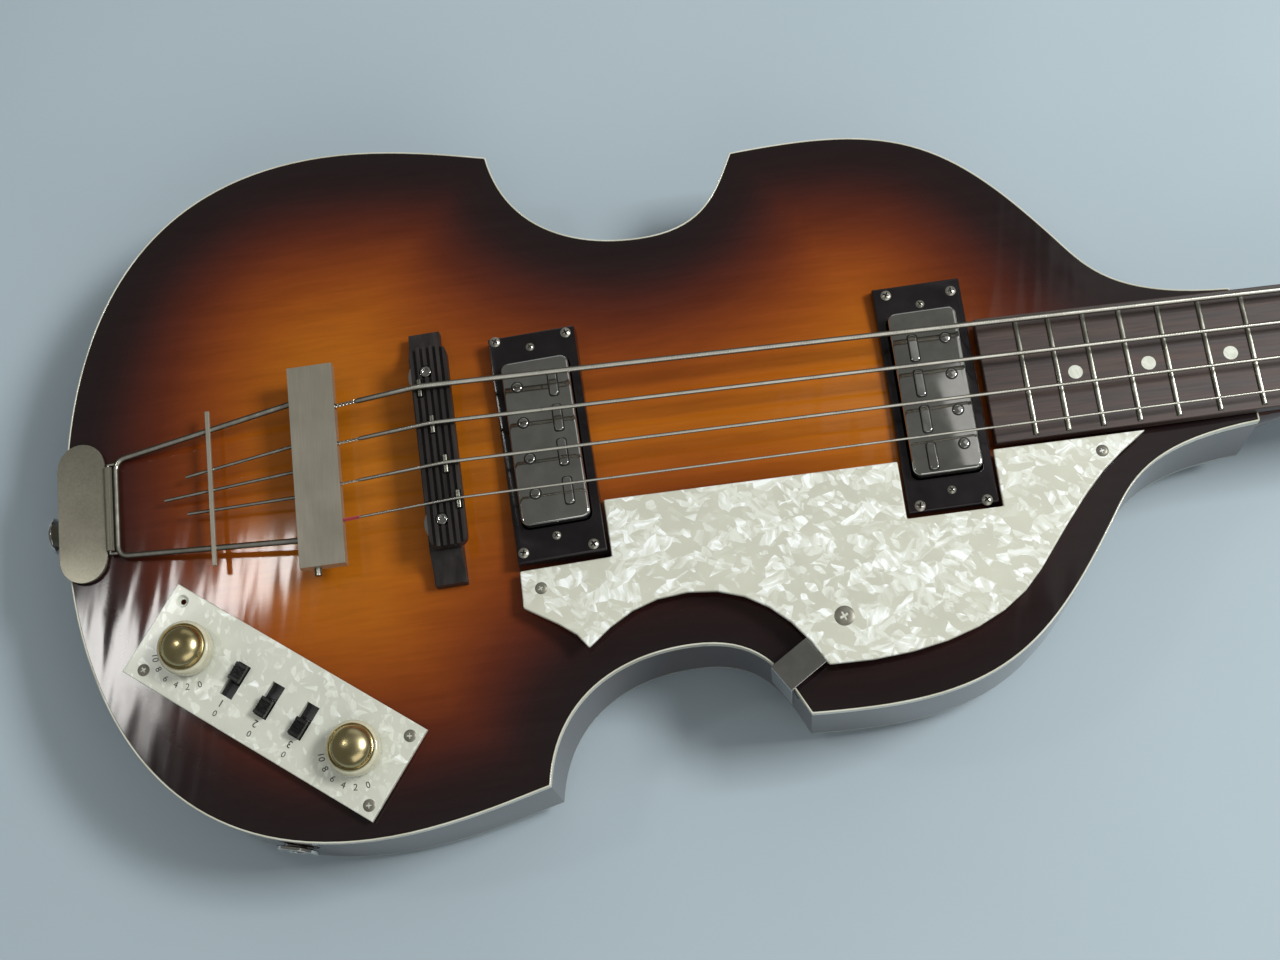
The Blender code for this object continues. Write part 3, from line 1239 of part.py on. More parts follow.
def make_pot(name, side, parent, looks, place):
    """Potentiometer can under the plate with its bush coming up through the plate."""
    bore = SHAFT_RADIUS + RUNNING_GAP / 2
    bush_top = CONTROL_THICKNESS + KNOB_LIFT - GAP
    bore_floor = CONTROL_THICKNESS - SHAFT_LENGTH - GAP
    collar = BUSH_RADIUS + 0.002
    shoulder = -GAP - POT_SHOULDER
    can_floor = shoulder - POT_DEPTH
    profile = [(bore, bush_top), (bore, bore_floor), (0, bore_floor), (0, can_floor),
               (POT_RADIUS, can_floor),
               (POT_RADIUS, shoulder), (collar, shoulder + 0.001), (collar, -GAP), (BUSH_RADIUS, -GAP),
               (BUSH_RADIUS, bush_top)]
    mesh_data = turned(profile)
    return make_solid(f"volume_pot_{name}", mesh_data, looks["steel"], parent,
                      place @ Matrix.Translation((side * KNOB_SPREAD, 0, 0)))


def make_knob(name, side, parent, looks, place):
    """Round knob with a domed cap, turned in one with the shaft in the pot's bush."""
    low = CONTROL_THICKNESS + KNOB_LIFT
    skirt = low + KNOB_SKIRT_HEIGHT
    profile = [(0, low - SHAFT_LENGTH), (SHAFT_RADIUS, low - SHAFT_LENGTH), (SHAFT_RADIUS, low),
               (KNOB_RADIUS, low), (KNOB_RADIUS * 0.97, low + KNOB_SKIRT_HEIGHT * 0.7),
               (KNOB_DOME_RADIUS, skirt)]
    steps = 5
    for step in range(1, steps + 1):
        angle = math.pi / 2 * step / steps
        profile.append((KNOB_DOME_RADIUS * math.cos(angle) if step < steps else 0.0,
                        skirt + KNOB_DOME_HEIGHT * math.sin(angle)))
    return make_solid(f"volume_knob_{name}", turned(profile), looks["gold"], parent,
                      place @ Matrix.Translation((side * KNOB_SPREAD, 0, 0)))


def make_switch(index, parent, looks, place):
    """Slide switch: a metal frame under the plate and a black button that slides in the slot."""
    spot = place @ Matrix.Translation((switch_u(index), SWITCH_OFFSET, 0))
    half_w, half_l = SWITCH_SLOT_WIDTH / 2, SWITCH_SLOT_LENGTH / 2
    flange_l = 0.0012
    low = -SWITCH_BODY_DEPTH - GAP
    body = block((-half_w - SWITCH_WALL, -half_l - flange_l - SWITCH_WALL, low),
                 (half_w + SWITCH_WALL, half_l + flange_l + SWITCH_WALL, -GAP))
    frame = make_solid(f"switch_frame_{index + 1}", body, looks["steel"], parent, spot)
    pocket = block((-half_w, -half_l - flange_l, low + SWITCH_WALL), (half_w, half_l + flange_l, 0.002))
    cut(frame, make_tool(f"switch_pocket_{index + 1}", pocket, parent, spot))
    travel = SWITCH_SLOT_LENGTH - SWITCH_BUTTON_LENGTH - 2 * RUNNING_GAP
    rest = -travel / 2 if SWITCHES_DOWN[index] else travel / 2
    shoe_half = SWITCH_BUTTON_LENGTH / 2 + flange_l * 0.8
    half_b = half_w - RUNNING_GAP
    seat = spot @ Matrix.Translation((0, rest, 0))
    stem = block((-half_b, -SWITCH_BUTTON_LENGTH / 2, low + SWITCH_WALL + RUNNING_GAP),
                 (half_b, SWITCH_BUTTON_LENGTH / 2, CONTROL_THICKNESS + SWITCH_BUTTON_RISE))
    button = make_solid(f"switch_button_{index + 1}", stem, looks["black_plastic"], parent, seat)
    shoe_top = -GAP - 0.001
    shoe = block((-half_b, -shoe_half, shoe_top - SWITCH_FLANGE), (half_b, shoe_half, shoe_top))
    fuse(button, make_tool(f"switch_shoe_{index + 1}", shoe, parent, seat))
    return frame, button


# Output jack

def jack_matrix():
    """On the treble rim, its z axis pointing out of the body."""
    step = 0.004
    slope = (half_width(JACK_X + step) - half_width(JACK_X - step)) / (2 * step)
    outward = Vector((-slope, -1, 0)).normalized()
    turn = outward.to_track_quat("Z", "Y").to_matrix().to_4x4()
    return Matrix.Translation((JACK_X, -half_width(JACK_X), BACK_ARCH + RIM_DEPTH / 2)) @ turn


def make_jack(parent, looks):
    low = GAP * 2
    profile = [(JACK_BORE_RADIUS, low + JACK_FLANGE_THICKNESS), (JACK_BORE_RADIUS, -JACK_BORE_LENGTH),
               (0, -JACK_BORE_LENGTH), (0, -JACK_BODY_LENGTH), (JACK_BODY_RADIUS, -JACK_BODY_LENGTH),
               (JACK_BODY_RADIUS, low), (JACK_FLANGE_RADIUS, low),
               (JACK_FLANGE_RADIUS, low + JACK_FLANGE_THICKNESS)]
    return make_solid("output_jack", turned(profile), looks["chrome"], parent, jack_matrix())


def make_jack_hole(parent):
    hole = rod(JACK_BODY_RADIUS + GAP, -0.012, 0.006)
    return make_tool("jack_hole", hole, parent, jack_matrix())


# Pickguard

GUARD_MATRIX = Matrix.Translation((0, 0, RIM_TOP + GUARD_TOP)) @ Matrix.Rotation(GUARD_TILT, 4, "Y")


def guard_outline():
    """Pickguard seen from above, without its notches for the pickup rings."""
    tip = (GUARD_TIP_X, GUARD_EDGE_Y - 0.0011)
    corner = (GUARD_CORNER_X, GUARD_CORNER_Y)
    point = (GUARD_POINT_X, GUARD_POINT_Y)
    corner_left = (BRIDGE_PICKUP_X - RING_WIDTH / 2 + 0.002, GUARD_EDGE_Y)
    low_left = (BRIDGE_PICKUP_X - RING_WIDTH / 2 + 0.002, -0.0655)
    points = [Vector(corner_left)]
    points += curve_points(low_left, (1, -0.75), 0.006, point, (0.35, -1), 0.008, 4)
    crest, shoulder = (0.0730, -0.0676), (0.2060, -0.0765)
    points += curve_points(point, (1, 0.85), 0.016, crest, (1, 0), 0.017, 4)
    points += curve_points(crest, (1, 0), 0.024, corner, (0.45, -0.9), 0.022, 6)
    points += curve_points(corner, (1, -0.06), 0.040, shoulder, (0.62, 0.78), 0.024, 7)
    points += curve_points(shoulder, (0.62, 0.78), 0.040, tip, (0.83, 0.55), 0.024, 5)
    points.append(Vector(tip))
    return points


def make_pickguard(parent, looks):
    sheet = prism(guard_outline(), -GUARD_THICKNESS, 0.0)
    guard = make_solid("pickguard", sheet, looks["pearl"], parent, GUARD_MATRIX)
    for name, x, skew, ring_top in PICKUPS:
        half_w = RING_WIDTH / 2 + GUARD_NOTCH_GAP
        half_l = RING_LENGTH / 2 + GUARD_NOTCH_GAP
        notch = block((-half_w, -half_l, -0.010), (half_w, half_l, 0.030))
        cut(guard, make_tool(f"guard_notch_{name}", notch, parent, pickup_matrix(x, skew)))
    side = -board_half(fret_x(FRET_COUNT)) - GUARD_NOTCH_GAP - 0.0002
    board_side = block((NECK_PICKUP_X, side, -0.010), (GUARD_TIP_X + 0.02, 0.0, 0.030))
    cut(guard, make_tool("guard_board_side", board_side, parent, Matrix.Translation((0, 0, RIM_TOP))))
    return guard


def make_guard_bracket(parent, looks):
    """Angle strip: its top leg under the pickguard's edge, its other leg down the waist's rim."""
    step = 0.004
    edge_x = GUARD_BRACKET_X - 0.004
    slope = (half_width(edge_x + step) - half_width(edge_x - step)) / (2 * step)
    outward = Vector((-slope, -1, 0)).normalized()
    sideways = Vector((0, 0, 1)).cross(outward)
    turn = Matrix((outward, sideways, Vector((0, 0, 1)))).transposed().to_4x4()
    place = Matrix.Translation((edge_x, -half_width(edge_x), RIM_TOP)) @ turn
    guard_under = GUARD_TOP - math.tan(GUARD_TILT) * GUARD_BRACKET_X - GUARD_THICKNESS - GAP * 2
    high = guard_under - 0.0004
    thick, half = GUARD_BRACKET_THICKNESS, GUARD_BRACKET_WIDTH / 2
    out = 0.0012
    bend = 0.0008
    side = [(-GUARD_BRACKET_REACH, high - thick), (-GUARD_BRACKET_REACH, high), (out + thick - bend, high),
            (out + thick, high - bend), (out + thick, -GUARD_BRACKET_DROP), (out, -GUARD_BRACKET_DROP),
            (out, high - thick)]
    stand = Matrix(((1, 0, 0, 0), (0, 0, 1, 0), (0, 1, 0, 0), (0, 0, 0, 1)))
    shape = prism(side, -half, half)
    bmesh.ops.transform(shape, matrix=stand, verts=shape.verts)
    return make_solid("pickguard_bracket", shape, looks["chrome"], parent, place)


# Strings

STRING_NAMES = ("e", "a", "d", "g")


def saddle_point(index):
    x, y = SADDLE_SPOTS[index]
    centre = Vector((x - BRIDGE_X, y, SADDLE_TOP + GAP + STRING_RADII[index]))
    return BRIDGE_MATRIX @ centre


def nut_point(index, x):
    return NECK_MATRIX @ Vector((x, nut_string_y(index), NUT_RISE + GAP + STRING_RADII[index]))


def string_start(index):
    """Where a string leaves the anchor, and its way to the saddle."""
    contact = saddle_point(index)
    anchor = Vector((BLOCK_X + ANCHOR_WIDTH / 2, contact.y, ANCHOR_TOP - STRING_UNDER_ANCHOR_TOP))
    way = (contact - anchor).normalized()
    return anchor, way


def string_points(index):
    name, post_x, post_y, side = tuner_places()[index]
    start, way = string_start(index)
    contact = saddle_point(index)
    radius = STRING_RADII[index]
    nut_in = nut_point(index, NUT_X)
    nut_out = nut_point(index, NUT_X + NUT_THICKNESS)
    inner_side = post_y - side * (POST_RADIUS + radius + GAP)
    post = HEAD_MATRIX @ Vector((post_x, inner_side, POST_HEIGHT * 0.5))
    return [start + way * 0.0006, contact, nut_in, nut_out, post]


def make_string(index, parent, looks):
    name = f"string_{STRING_NAMES[index]}"
    curve = bpy.data.curves.new(name, "CURVE")
    curve.dimensions = "3D"
    curve.bevel_depth = STRING_RADII[index]
    curve.bevel_resolution = 1
    curve.render_resolution_u = 0
    curve.use_fill_caps = True
    points = string_points(index)
    spline = curve.splines.new("POLY")
    spline.points.add(len(points) - 1)
    for spot, point in zip(spline.points, points):
        spot.co = (*point, 1.0)
    item = bpy.data.objects.new(name, curve)
    bpy.context.collection.objects.link(item)
    curve.materials.append(looks["string"])
    item.parent = parent
    return item


# Placing: lean the instrument until its head and back both meet the table

def head_low_point():
    """Lowest corner of the tuner housings, in the body frame."""
    low = HEAD_BACK - GAP - TUNER_PLATE_THICKNESS - HOUSING_DEPTH
    return HEAD_MATRIX @ Vector((POST_X[1] + WORM_OFFSET / 2 + HOUSING_LENGTH / 2, 0, low))


def table_slope():
    """Slope of the table in the body frame: it cuts the crown of the back a little and meets the head."""
    head = head_low_point()
    stations = [TAIL_X + (NECK_JOINT_X - TAIL_X) * step / 100 for step in range(101)]
    return max((back_arch(x, 0.0) + BACK_FLAT_DEPTH - head.z) / (x - head.x) for x in stations)


def table_height(x):
    head = head_low_point()
    return head.z + table_slope() * (x - head.x)


def lying_matrix():
    turned_body = Matrix.Rotation(math.atan(table_slope()), 4, "Y")
    floor = (turned_body @ head_low_point()).z
    button_top = END_BUTTON_Z + BUTTON_RADIUS * 0.85
    tail_end = turned_body @ Vector((BRACKET_OUT_X - GAP - BUTTON_HEIGHT, 0, button_top))
    head_end = turned_body @ HEAD_MATRIX @ Vector((HEAD_LENGTH, 0, 0))
    middle = (tail_end.x + head_end.x) / 2
    return Matrix.Translation((-middle, 0, -floor)) @ turned_body


def build():
    clear_scene()
    looks = make_materials()
    root = make_frame("bass_guitar", None, lying_matrix())
    neck_frame = make_frame("neck_frame", root, NECK_MATRIX)
    head_frame = make_frame("head_frame", root, HEAD_MATRIX)
    control_place = control_matrix()
    arch_tool = make_arch_tool(root)
    end_hole = make_tool("end_screw_hole", end_screw_hole(), root)

    make_top_plate(root, looks, make_pickup_openings(root) + [make_control_opening(root, control_place)])
    make_back_plate(root, looks)
    rim_mortise = make_tenon_tool("rim_mortise", root, GAP)
    make_rim(root, looks, [end_hole, make_jack_hole(root), rim_mortise])
    make_binding("top_binding", root, looks, RIM_TOP, RIM_TOP - BINDING_HEIGHT + GAP)
    make_binding("back_binding", root, looks, BACK_ARCH, BACK_ARCH + BINDING_HEIGHT - GAP)
    make_neck_block(root, looks)
    make_tail_block(root, looks, end_hole)

    make_neck(root, neck_frame, looks, make_post_holes(head_frame) + [make_heel_button_seat(neck_frame)])
    make_fingerboard(neck_frame, looks)
    make_nut(neck_frame, looks)
    make_truss_rod(neck_frame, looks)
    for name, x, y, side in tuner_places():
        make_tuner_post(name, x, y, head_frame, looks)
        make_tuner_key(name, x, y, side, head_frame, looks)
    for name, side in HEAD_SIDES:
        make_tuner_plate(name, side, head_frame, looks)

    make_bridge_base(root, looks, arch_tool)
    make_bridge_top(root, looks)
    for index, name in enumerate(STRING_NAMES):
        make_saddle(name, index, root, looks)
        make_string(index, root, looks)
    for name, y in POST_SIDES:
        make_bridge_post(name, y, root, looks)
        make_thumbwheel(name, y, root, looks)

    for name, x, skew, ring_top in PICKUPS:
        make_pickup_ring(name, x, skew, ring_top, root, looks, arch_tool)
        make_pickup_cover(name, x, skew, ring_top, root, looks)
        make_pickup_coil(name, x, skew, ring_top, root, looks)

    make_tailpiece_bracket(root, looks, end_hole)
    make_tailpiece_frame(root, looks)
    make_tailpiece_cover(root, looks)
    make_end_button(root, looks)
    make_heel_button(neck_frame, looks)

    make_control_plate(root, looks, control_place)
    for name, side in (("rear", -1), ("front", 1)):
        make_pot(name, side, root, looks, control_place)
        make_knob(name, side, root, looks, control_place)
    for index in range(len(SWITCHES_DOWN)):
        make_switch(index, root, looks, control_place)
    make_jack(root, looks)

    make_pickguard(root, looks)
    make_guard_bracket(root, looks)


build()
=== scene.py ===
import math

import bmesh
import bpy
from mathutils import Matrix, Vector


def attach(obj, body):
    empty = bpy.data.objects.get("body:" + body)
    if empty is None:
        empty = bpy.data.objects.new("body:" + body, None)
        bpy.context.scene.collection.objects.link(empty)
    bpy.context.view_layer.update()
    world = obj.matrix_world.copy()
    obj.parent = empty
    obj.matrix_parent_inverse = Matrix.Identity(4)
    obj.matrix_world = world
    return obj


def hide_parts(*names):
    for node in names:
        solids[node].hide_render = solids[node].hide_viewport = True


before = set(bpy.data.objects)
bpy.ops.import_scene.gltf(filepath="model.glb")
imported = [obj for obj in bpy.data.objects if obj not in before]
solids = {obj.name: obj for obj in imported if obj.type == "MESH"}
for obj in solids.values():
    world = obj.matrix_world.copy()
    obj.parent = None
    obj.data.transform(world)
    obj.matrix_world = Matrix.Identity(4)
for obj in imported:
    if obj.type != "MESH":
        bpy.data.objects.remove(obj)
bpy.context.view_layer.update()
bench = bpy.context.scene

# Arched top of the hollow body: a 3 mm maple plate, pressed to a shallow arch, stained from amber in
# the middle to near black at the edge, and lacquered to a high gloss. Its rim is glued to the sides.
# The instrument lies on its back, leaned a little, as the head and the back both meet the table.
LYING = Matrix.Translation((-0.366805, 0, -0.0004033)) @ Matrix.Rotation(math.radians(-1.41357), 4, "Y")
BACK_RIM = 0.009
TOP_RIM = 0.053
PLATE = 0.003
ARCH = 0.010
BINDING_WIDE = 0.0007
BINDING_HIGH = 0.0042
BACK_BINDING_HIGH = 0.0016
TAIL_X = -0.1705
NECK_X = 0.300
CROWN_X = 0.040
PLATE_COLUMNS = 64


def edge_run(start, start_way, start_pull, end, end_way, end_pull, steps):
    """Points along one curved stretch of the body's edge, without its last one."""
    start, end = Vector(start), Vector(end)
    hold_a = start + Vector(start_way).normalized() * start_pull
    hold_b = end - Vector(end_way).normalized() * end_pull
    points = []
    for step in range(steps):
        t = step / steps
        u = 1 - t
        points.append(u ** 3 * start + 3 * u * u * t * hold_a + 3 * u * t * t * hold_b + t ** 3 * end)
    return points


def half_edge():
    """The bass side of the body's edge, from the tail round both bouts to the neck."""
    tail, lower, lower_corner = (TAIL_X, 0), (-0.056, 0.1435), (0.0124, 0.132)
    waist, upper_corner, upper = (0.0717, 0.0858), (0.1131, 0.1179), (0.136, 0.1186)
    shoulder, joint = (0.240, 0.0555), (NECK_X, 0.028)
    down = (0.57, -0.82)
    points = edge_run(tail, (0, 1), 0.049, lower, (1, 0), 0.100, 45)
    points += edge_run(lower, (1, 0), 0.028, lower_corner, (1, -0.235), 0.012, 12)
    points += edge_run(lower_corner, (0.15, -1), 0.033, waist, (1, 0), 0.0285, 24)
    points += edge_run(waist, (1, 0), 0.028, upper_corner, (0.45, 0.9), 0.0175, 18)
    points += edge_run(upper_corner, (1, 0.06), 0.007, upper, (1, 0), 0.008, 4)
    points += edge_run(upper, (1, 0), 0.053, shoulder, down, 0.056, 27)
    points += edge_run(shoulder, down, 0.016, joint, (1, -0.06), 0.040, 16)
    points.append(Vector(joint))
    return points


def drawn_in(points, distance):
    """The half edge moved inwards, its corners mitred."""
    inner = []
    for i, point in enumerate(points):
        before = points[i - 1] if i > 0 else Vector((points[1].x, -points[1].y))
        after = points[i + 1] if i + 1 < len(points) else Vector((point.x, -point.y))
        way_a, way_b = (point - before).normalized(), (after - point).normalized()
        out_a, out_b = Vector((way_a.y, -way_a.x)), Vector((way_b.y, -way_b.x))
        inner.append(point + distance * (out_a + out_b) / (1 + out_a.dot(out_b)))
    return inner


EDGE = half_edge()


def to_edge(x, y):
    """How far a spot on the body lies from its edge, in metres."""
    spot = Vector((x, abs(y)))
    nearest = 1.0
    for a, b in zip(EDGE, EDGE[1:]):
        along = b - a
        share = max(0.0, min(1.0, (spot - a).dot(along) / along.dot(along)))
        nearest = min(nearest, (a + along * share - spot).length)
    return nearest


def top_arch(x, share):
    """Height of the top at x, at a share of the half width."""
    reach = CROWN_X - TAIL_X if x < CROWN_X else NECK_X - CROWN_X
    power = 1.5 if x < CROWN_X else 1.0
    along = math.cos(math.pi / 2 * min(abs(x - CROWN_X) / reach, 1) ** power) ** 2
    return TOP_RIM + ARCH * along * math.cos(math.pi / 2 * min(abs(share), 1)) ** 2


def even_half(x):
    """The half width near x, evened out so that the sharp corners leave no crease in the arch."""
    step_long, blur = 0.004, 0.014
    total, weights = 0.0, 0.0
    for step in range(-9, 10):
        spot = x + step * step_long
        weight = math.exp(-(step * step_long / blur) ** 2 / 2)
        for a, b in zip(EDGE, EDGE[1:]):
            if a.x <= spot < b.x:
                total += weight * (a.y + (b.y - a.y) * (spot - a.x) / (b.x - a.x))
                weights += weight
                break
    return total / weights


def body_skin(arch):
    """A sheet over the outline, raised to an arch, that knows how far each spot is from the edge."""
    flat_rim, full_amber = 0.012, 0.13
    rows = drawn_in(EDGE, BINDING_WIDE + 0.0002)
    halves = [even_half(row.x) for row in rows]
    sheet = bmesh.new()
    bmesh.ops.create_grid(sheet, x_segments=len(rows) - 1, y_segments=PLATE_COLUMNS, size=1)
    from_edge = sheet.verts.layers.float.new("from_edge")
    for spot in sheet.verts:
        number = round((spot.co.x + 1) / 2 * (len(rows) - 1))
        x, y = rows[number].x, spot.co.y * rows[number].y
        far = to_edge(x, y)
        rise = min(far / flat_rim, 1.0)
        rim_high = arch(x, 1)
        high = rim_high + (arch(x, y / halves[number]) - rim_high) * rise * rise * (3 - 2 * rise)
        spot.co = Vector((x, y, high))
        spot[from_edge] = far / full_amber
    bmesh.ops.remove_doubles(sheet, verts=sheet.verts, dist=1e-6)
    return sheet


def cut_window(sheet, place, half_x, half_y):
    """Opens a four-sided window in a sheet."""
    sides = ((1, 0, half_x), (-1, 0, half_x), (0, 1, half_y), (0, -1, half_y))
    for x, y, half in sides:
        spot = place @ Vector((x * half, y * half, 0))
        way = place.to_3x3() @ Vector((x, y, 0))
        whole = sheet.verts[:] + sheet.edges[:] + sheet.faces[:]
        bmesh.ops.bisect_plane(sheet, geom=whole, plane_co=spot, plane_no=way, dist=1e-6)
    back = place.inverted()
    inside = []
    for face in sheet.faces:
        middle = back @ face.calc_center_median()
        if abs(middle.x) < half_x and abs(middle.y) < half_y:
            inside.append(face)
    bmesh.ops.delete(sheet, geom=inside, context="FACES")


def thicken(piece, name, wall):
    """Gives a sheet its wall, inwards from the side that shows."""
    solid = piece.modifiers.new(name, "SOLIDIFY")
    solid.thickness = wall
    solid.offset = -1


def tone(red, green, blue):
    """A colour as a paint chart gives it, 0 to 255, turned to what the shader takes."""
    linear = []
    for part in (red, green, blue):
        part = part / 255
        linear.append(part / 12.92 if part < 0.04045 else ((part + 0.055) / 1.055) ** 2.4)
    return (*linear, 1.0)


def brew(tree, kind, sockets=None, **fields):
    """Adds one node to a finish."""
    node = tree.nodes.new("ShaderNode" + kind)
    for field, value in fields.items():
        setattr(node, field, value)
    for socket, value in (sockets or {}).items():
        if isinstance(value, bpy.types.NodeSocket):
            tree.links.new(value, node.inputs[socket])
        else:
            node.inputs[socket].default_value = value
    return node


def start_finish(name, **fixed):
    """A bare finish: the material, its nodes and its shader."""
    look = bpy.data.materials.new(name)
    look.use_nodes = True
    shader = look.node_tree.nodes["Principled BSDF"]
    for socket, value in fixed.items():
        shader.inputs[socket.replace("_", " ")].default_value = value
    return look, look.node_tree, shader


def mapped(tree, where, **how):
    """Where a pattern lies once it is turned, moved or stretched."""
    return brew(tree, "Mapping", {"Vector": where, **how}).outputs["Vector"]


def grain(tree, scale, stretch=(1, 1, 1), detail=4, turn=0.0, roughness=0.55, distortion=0.0):
    """Cloudy grain, finer as scale grows; each part of stretch crowds it along that way."""
    turned = mapped(tree, brew(tree, "TexCoord").outputs["Object"], Rotation=(0, 0, turn))
    drawn = mapped(tree, turned, Scale=stretch)
    cloud = brew(tree, "TexNoise", {"Vector": drawn, "Scale": scale, "Detail": detail,
                                    "Roughness": roughness, "Distortion": distortion})
    return cloud.outputs["Fac"]


def spread(tree, value, low=0.0, high=1.0, from_low=0.3, from_high=0.7):
    """Stretches a grain's values to run from low to high."""
    return brew(tree, "MapRange", {"Value": value, "From Min": from_low, "From Max": from_high,
                                   "To Min": low, "To Max": high}).outputs["Result"]


def reckon(tree, way, first, second):
    """Two values added, multiplied or compared."""
    return brew(tree, "Math", {0: first, 1: second}, operation=way).outputs["Value"]


def ramp(tree, value, *stops):
    """Colours along a value: each stop is a place and a colour."""
    chart = brew(tree, "ValToRGB", {"Fac": value})
    marks = chart.color_ramp.elements
    while len(marks) < len(stops):
        marks.new(0.5)
    for mark, (place, colour) in zip(marks, stops):
        mark.position = place
        mark.color = colour
    return chart.outputs["Color"]


def mixed(tree, share, first, second, way="MIX"):
    """Two colours laid over each other."""
    mix = brew(tree, "Mix", {0: share, 6: first, 7: second}, data_type="RGBA", blend_type=way)
    return mix.outputs[2]


def paint(tree, shader, colour, roughness=None, socket="Roughness"):
    """Leads a colour, and where it varies a roughness, to the shader."""
    tree.links.new(colour, shader.inputs["Base Color"])
    if roughness is not None:
        tree.links.new(roughness, shader.inputs[socket])


def relief(tree, shader, height, strength, depth=0.0002, socket="Normal"):
    """Gives a surface the slight relief of its own height."""
    bump = brew(tree, "Bump", {"Height": height, "Strength": strength, "Distance": depth})
    tree.links.new(bump.outputs["Normal"], shader.inputs[socket])


def moved(shape, place):
    """Moves and turns a shape; None leaves it where it is."""
    if place is not None:
        bmesh.ops.transform(shape, matrix=place, verts=shape.verts)
    return shape


def as_mesh(name, shape):
    """Ends the work on a shape."""
    mesh = bpy.data.meshes.new(name)
    shape.to_mesh(mesh)
    shape.free()
    return mesh


def lay(name, shape, finish, body="instrument", place=LYING, stands_for=(), smooth=35,
        ease=0.0):
    """Sets a finished shape in its place on the instrument."""
    moved(shape, place)
    shape.edges.index_update()
    open_edges = [edge.index for edge in shape.edges if edge.is_boundary]
    mesh = as_mesh(name, shape)
    mesh.shade_smooth()
    mesh.set_sharp_from_angle(angle=math.radians(smooth))
    for number in open_edges:
        mesh.edges[number].use_edge_sharp = True
    mesh.materials.append(finish)
    piece = bpy.data.objects.new(name, mesh)
    bench.collection.objects.link(piece)
    if ease:
        eased = piece.modifiers.new("eased_edges", "BEVEL")
        eased.width = ease
        eased.segments = 2
        eased.limit_method = "ANGLE"
        eased.angle_limit = math.radians(smooth)
        eased.harden_normals = True
    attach(piece, body)
    if stands_for:
        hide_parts(*stands_for)
    return piece


def lacquered_burst():
    look, tree, shader = start_finish("sunburst_lacquer", Roughness=0.6, Coat_Weight=1.0, Coat_IOR=1.45,
                                      Specular_IOR_Level=0.0)
    far = brew(tree, "Attribute", attribute_name="from_edge").outputs["Fac"]
    wavered = reckon(tree, "ADD", far, spread(tree, grain(tree, 14, detail=3), -0.012, 0.012))
    stain = ramp(tree, wavered, (0.0, tone(30, 23, 23)), (0.08, tone(33, 22, 22)),
                 (0.125, tone(40, 23, 22)), (0.17, tone(53, 26, 22)), (0.22, tone(68, 30, 21)),
                 (0.29, tone(86, 37, 19)), (0.36, tone(107, 48, 18)), (0.44, tone(126, 60, 17)),
                 (0.53, tone(142, 72, 16)), (0.66, tone(160, 88, 17)), (1.0, tone(174, 104, 24)))
    figuring = spread(tree, grain(tree, 60, (0.35, 2.6, 1), 6, roughness=0.6))
    streaks = spread(tree, grain(tree, 420, (0.12, 1.6, 1), 3))
    figured = mixed(tree, figuring, (0.90, 0.89, 0.87, 1), (1.09, 1.10, 1.12, 1))
    streaked = mixed(tree, streaks, (0.94, 0.93, 0.92, 1), (1.05, 1.05, 1.06, 1))
    grained = mixed(tree, 1.0, figured, streaked, "MULTIPLY")
    paint(tree, shader, mixed(tree, 1.0, stain, grained, "MULTIPLY"),
          spread(tree, grain(tree, 35, detail=5), 0.07, 0.12), "Coat Roughness")
    ripple = reckon(tree, "ADD", grain(tree, 13, (3.2, 0.7, 1), 2, turn=0.3),
                    grain(tree, 38, (3.0, 0.35, 1), 1, turn=0.2))
    relief(tree, shader, ripple, 0.30, 0.0008, "Coat Normal")
    return look


PICKUP_Y = -0.0018
PICKUPS = (("bridge", 0.0262, 1.8, 0.0150), ("neck", 0.1777, 0.0, 0.0090))
COVER_LONG = 0.0670
COVER_WIDE = 0.0266
COVER_GAP = 0.001
CONTROL = Matrix(((0.7975821, 0.6028419, -0.0210807, -0.0897),
                  (-0.6032066, 0.7969685, -0.0313543, -0.0862),
                  (-0.002101, 0.0377236, 0.9992861, 0.0557188), (0, 0, 0, 1)))
CONTROL_HOLE = (0.0520, 0.0135)


def stand(x, y, z=0.0, degrees=0.0, axis="Z"):
    """Where a piece stands, and how far it is turned there."""
    return Matrix.Translation((x, y, z)) @ Matrix.Rotation(math.radians(degrees), 4, axis)


top = body_skin(top_arch)
for pickup, x, turn, ring_high in PICKUPS:
    cut_window(top, stand(x, PICKUP_Y, TOP_RIM, turn), COVER_WIDE / 2 + COVER_GAP,
               COVER_LONG / 2 + COVER_GAP)
cut_window(top, CONTROL, *CONTROL_HOLE)
top_skin = lay("arched_top", top, lacquered_burst(), stands_for=["top_plate"])
thicken(top_skin, "plate_thickness", PLATE)

# Back of the body: the same kind of plate, arched the other way, stained dark all over and polished.
# Its crown is rubbed flat where it touches the table.


def back_arch(x, share):
    middle = (TAIL_X + NECK_X) / 2
    along = 1 - min(abs(x - middle) / (middle - TAIL_X), 1) ** 3
    arched = BACK_RIM * (1 - along * math.cos(math.pi / 2 * min(abs(share), 1)) ** 2)
    table = (-LYING[2][3] - LYING[2][0] * x) / LYING[2][2]
    return max(arched, table)


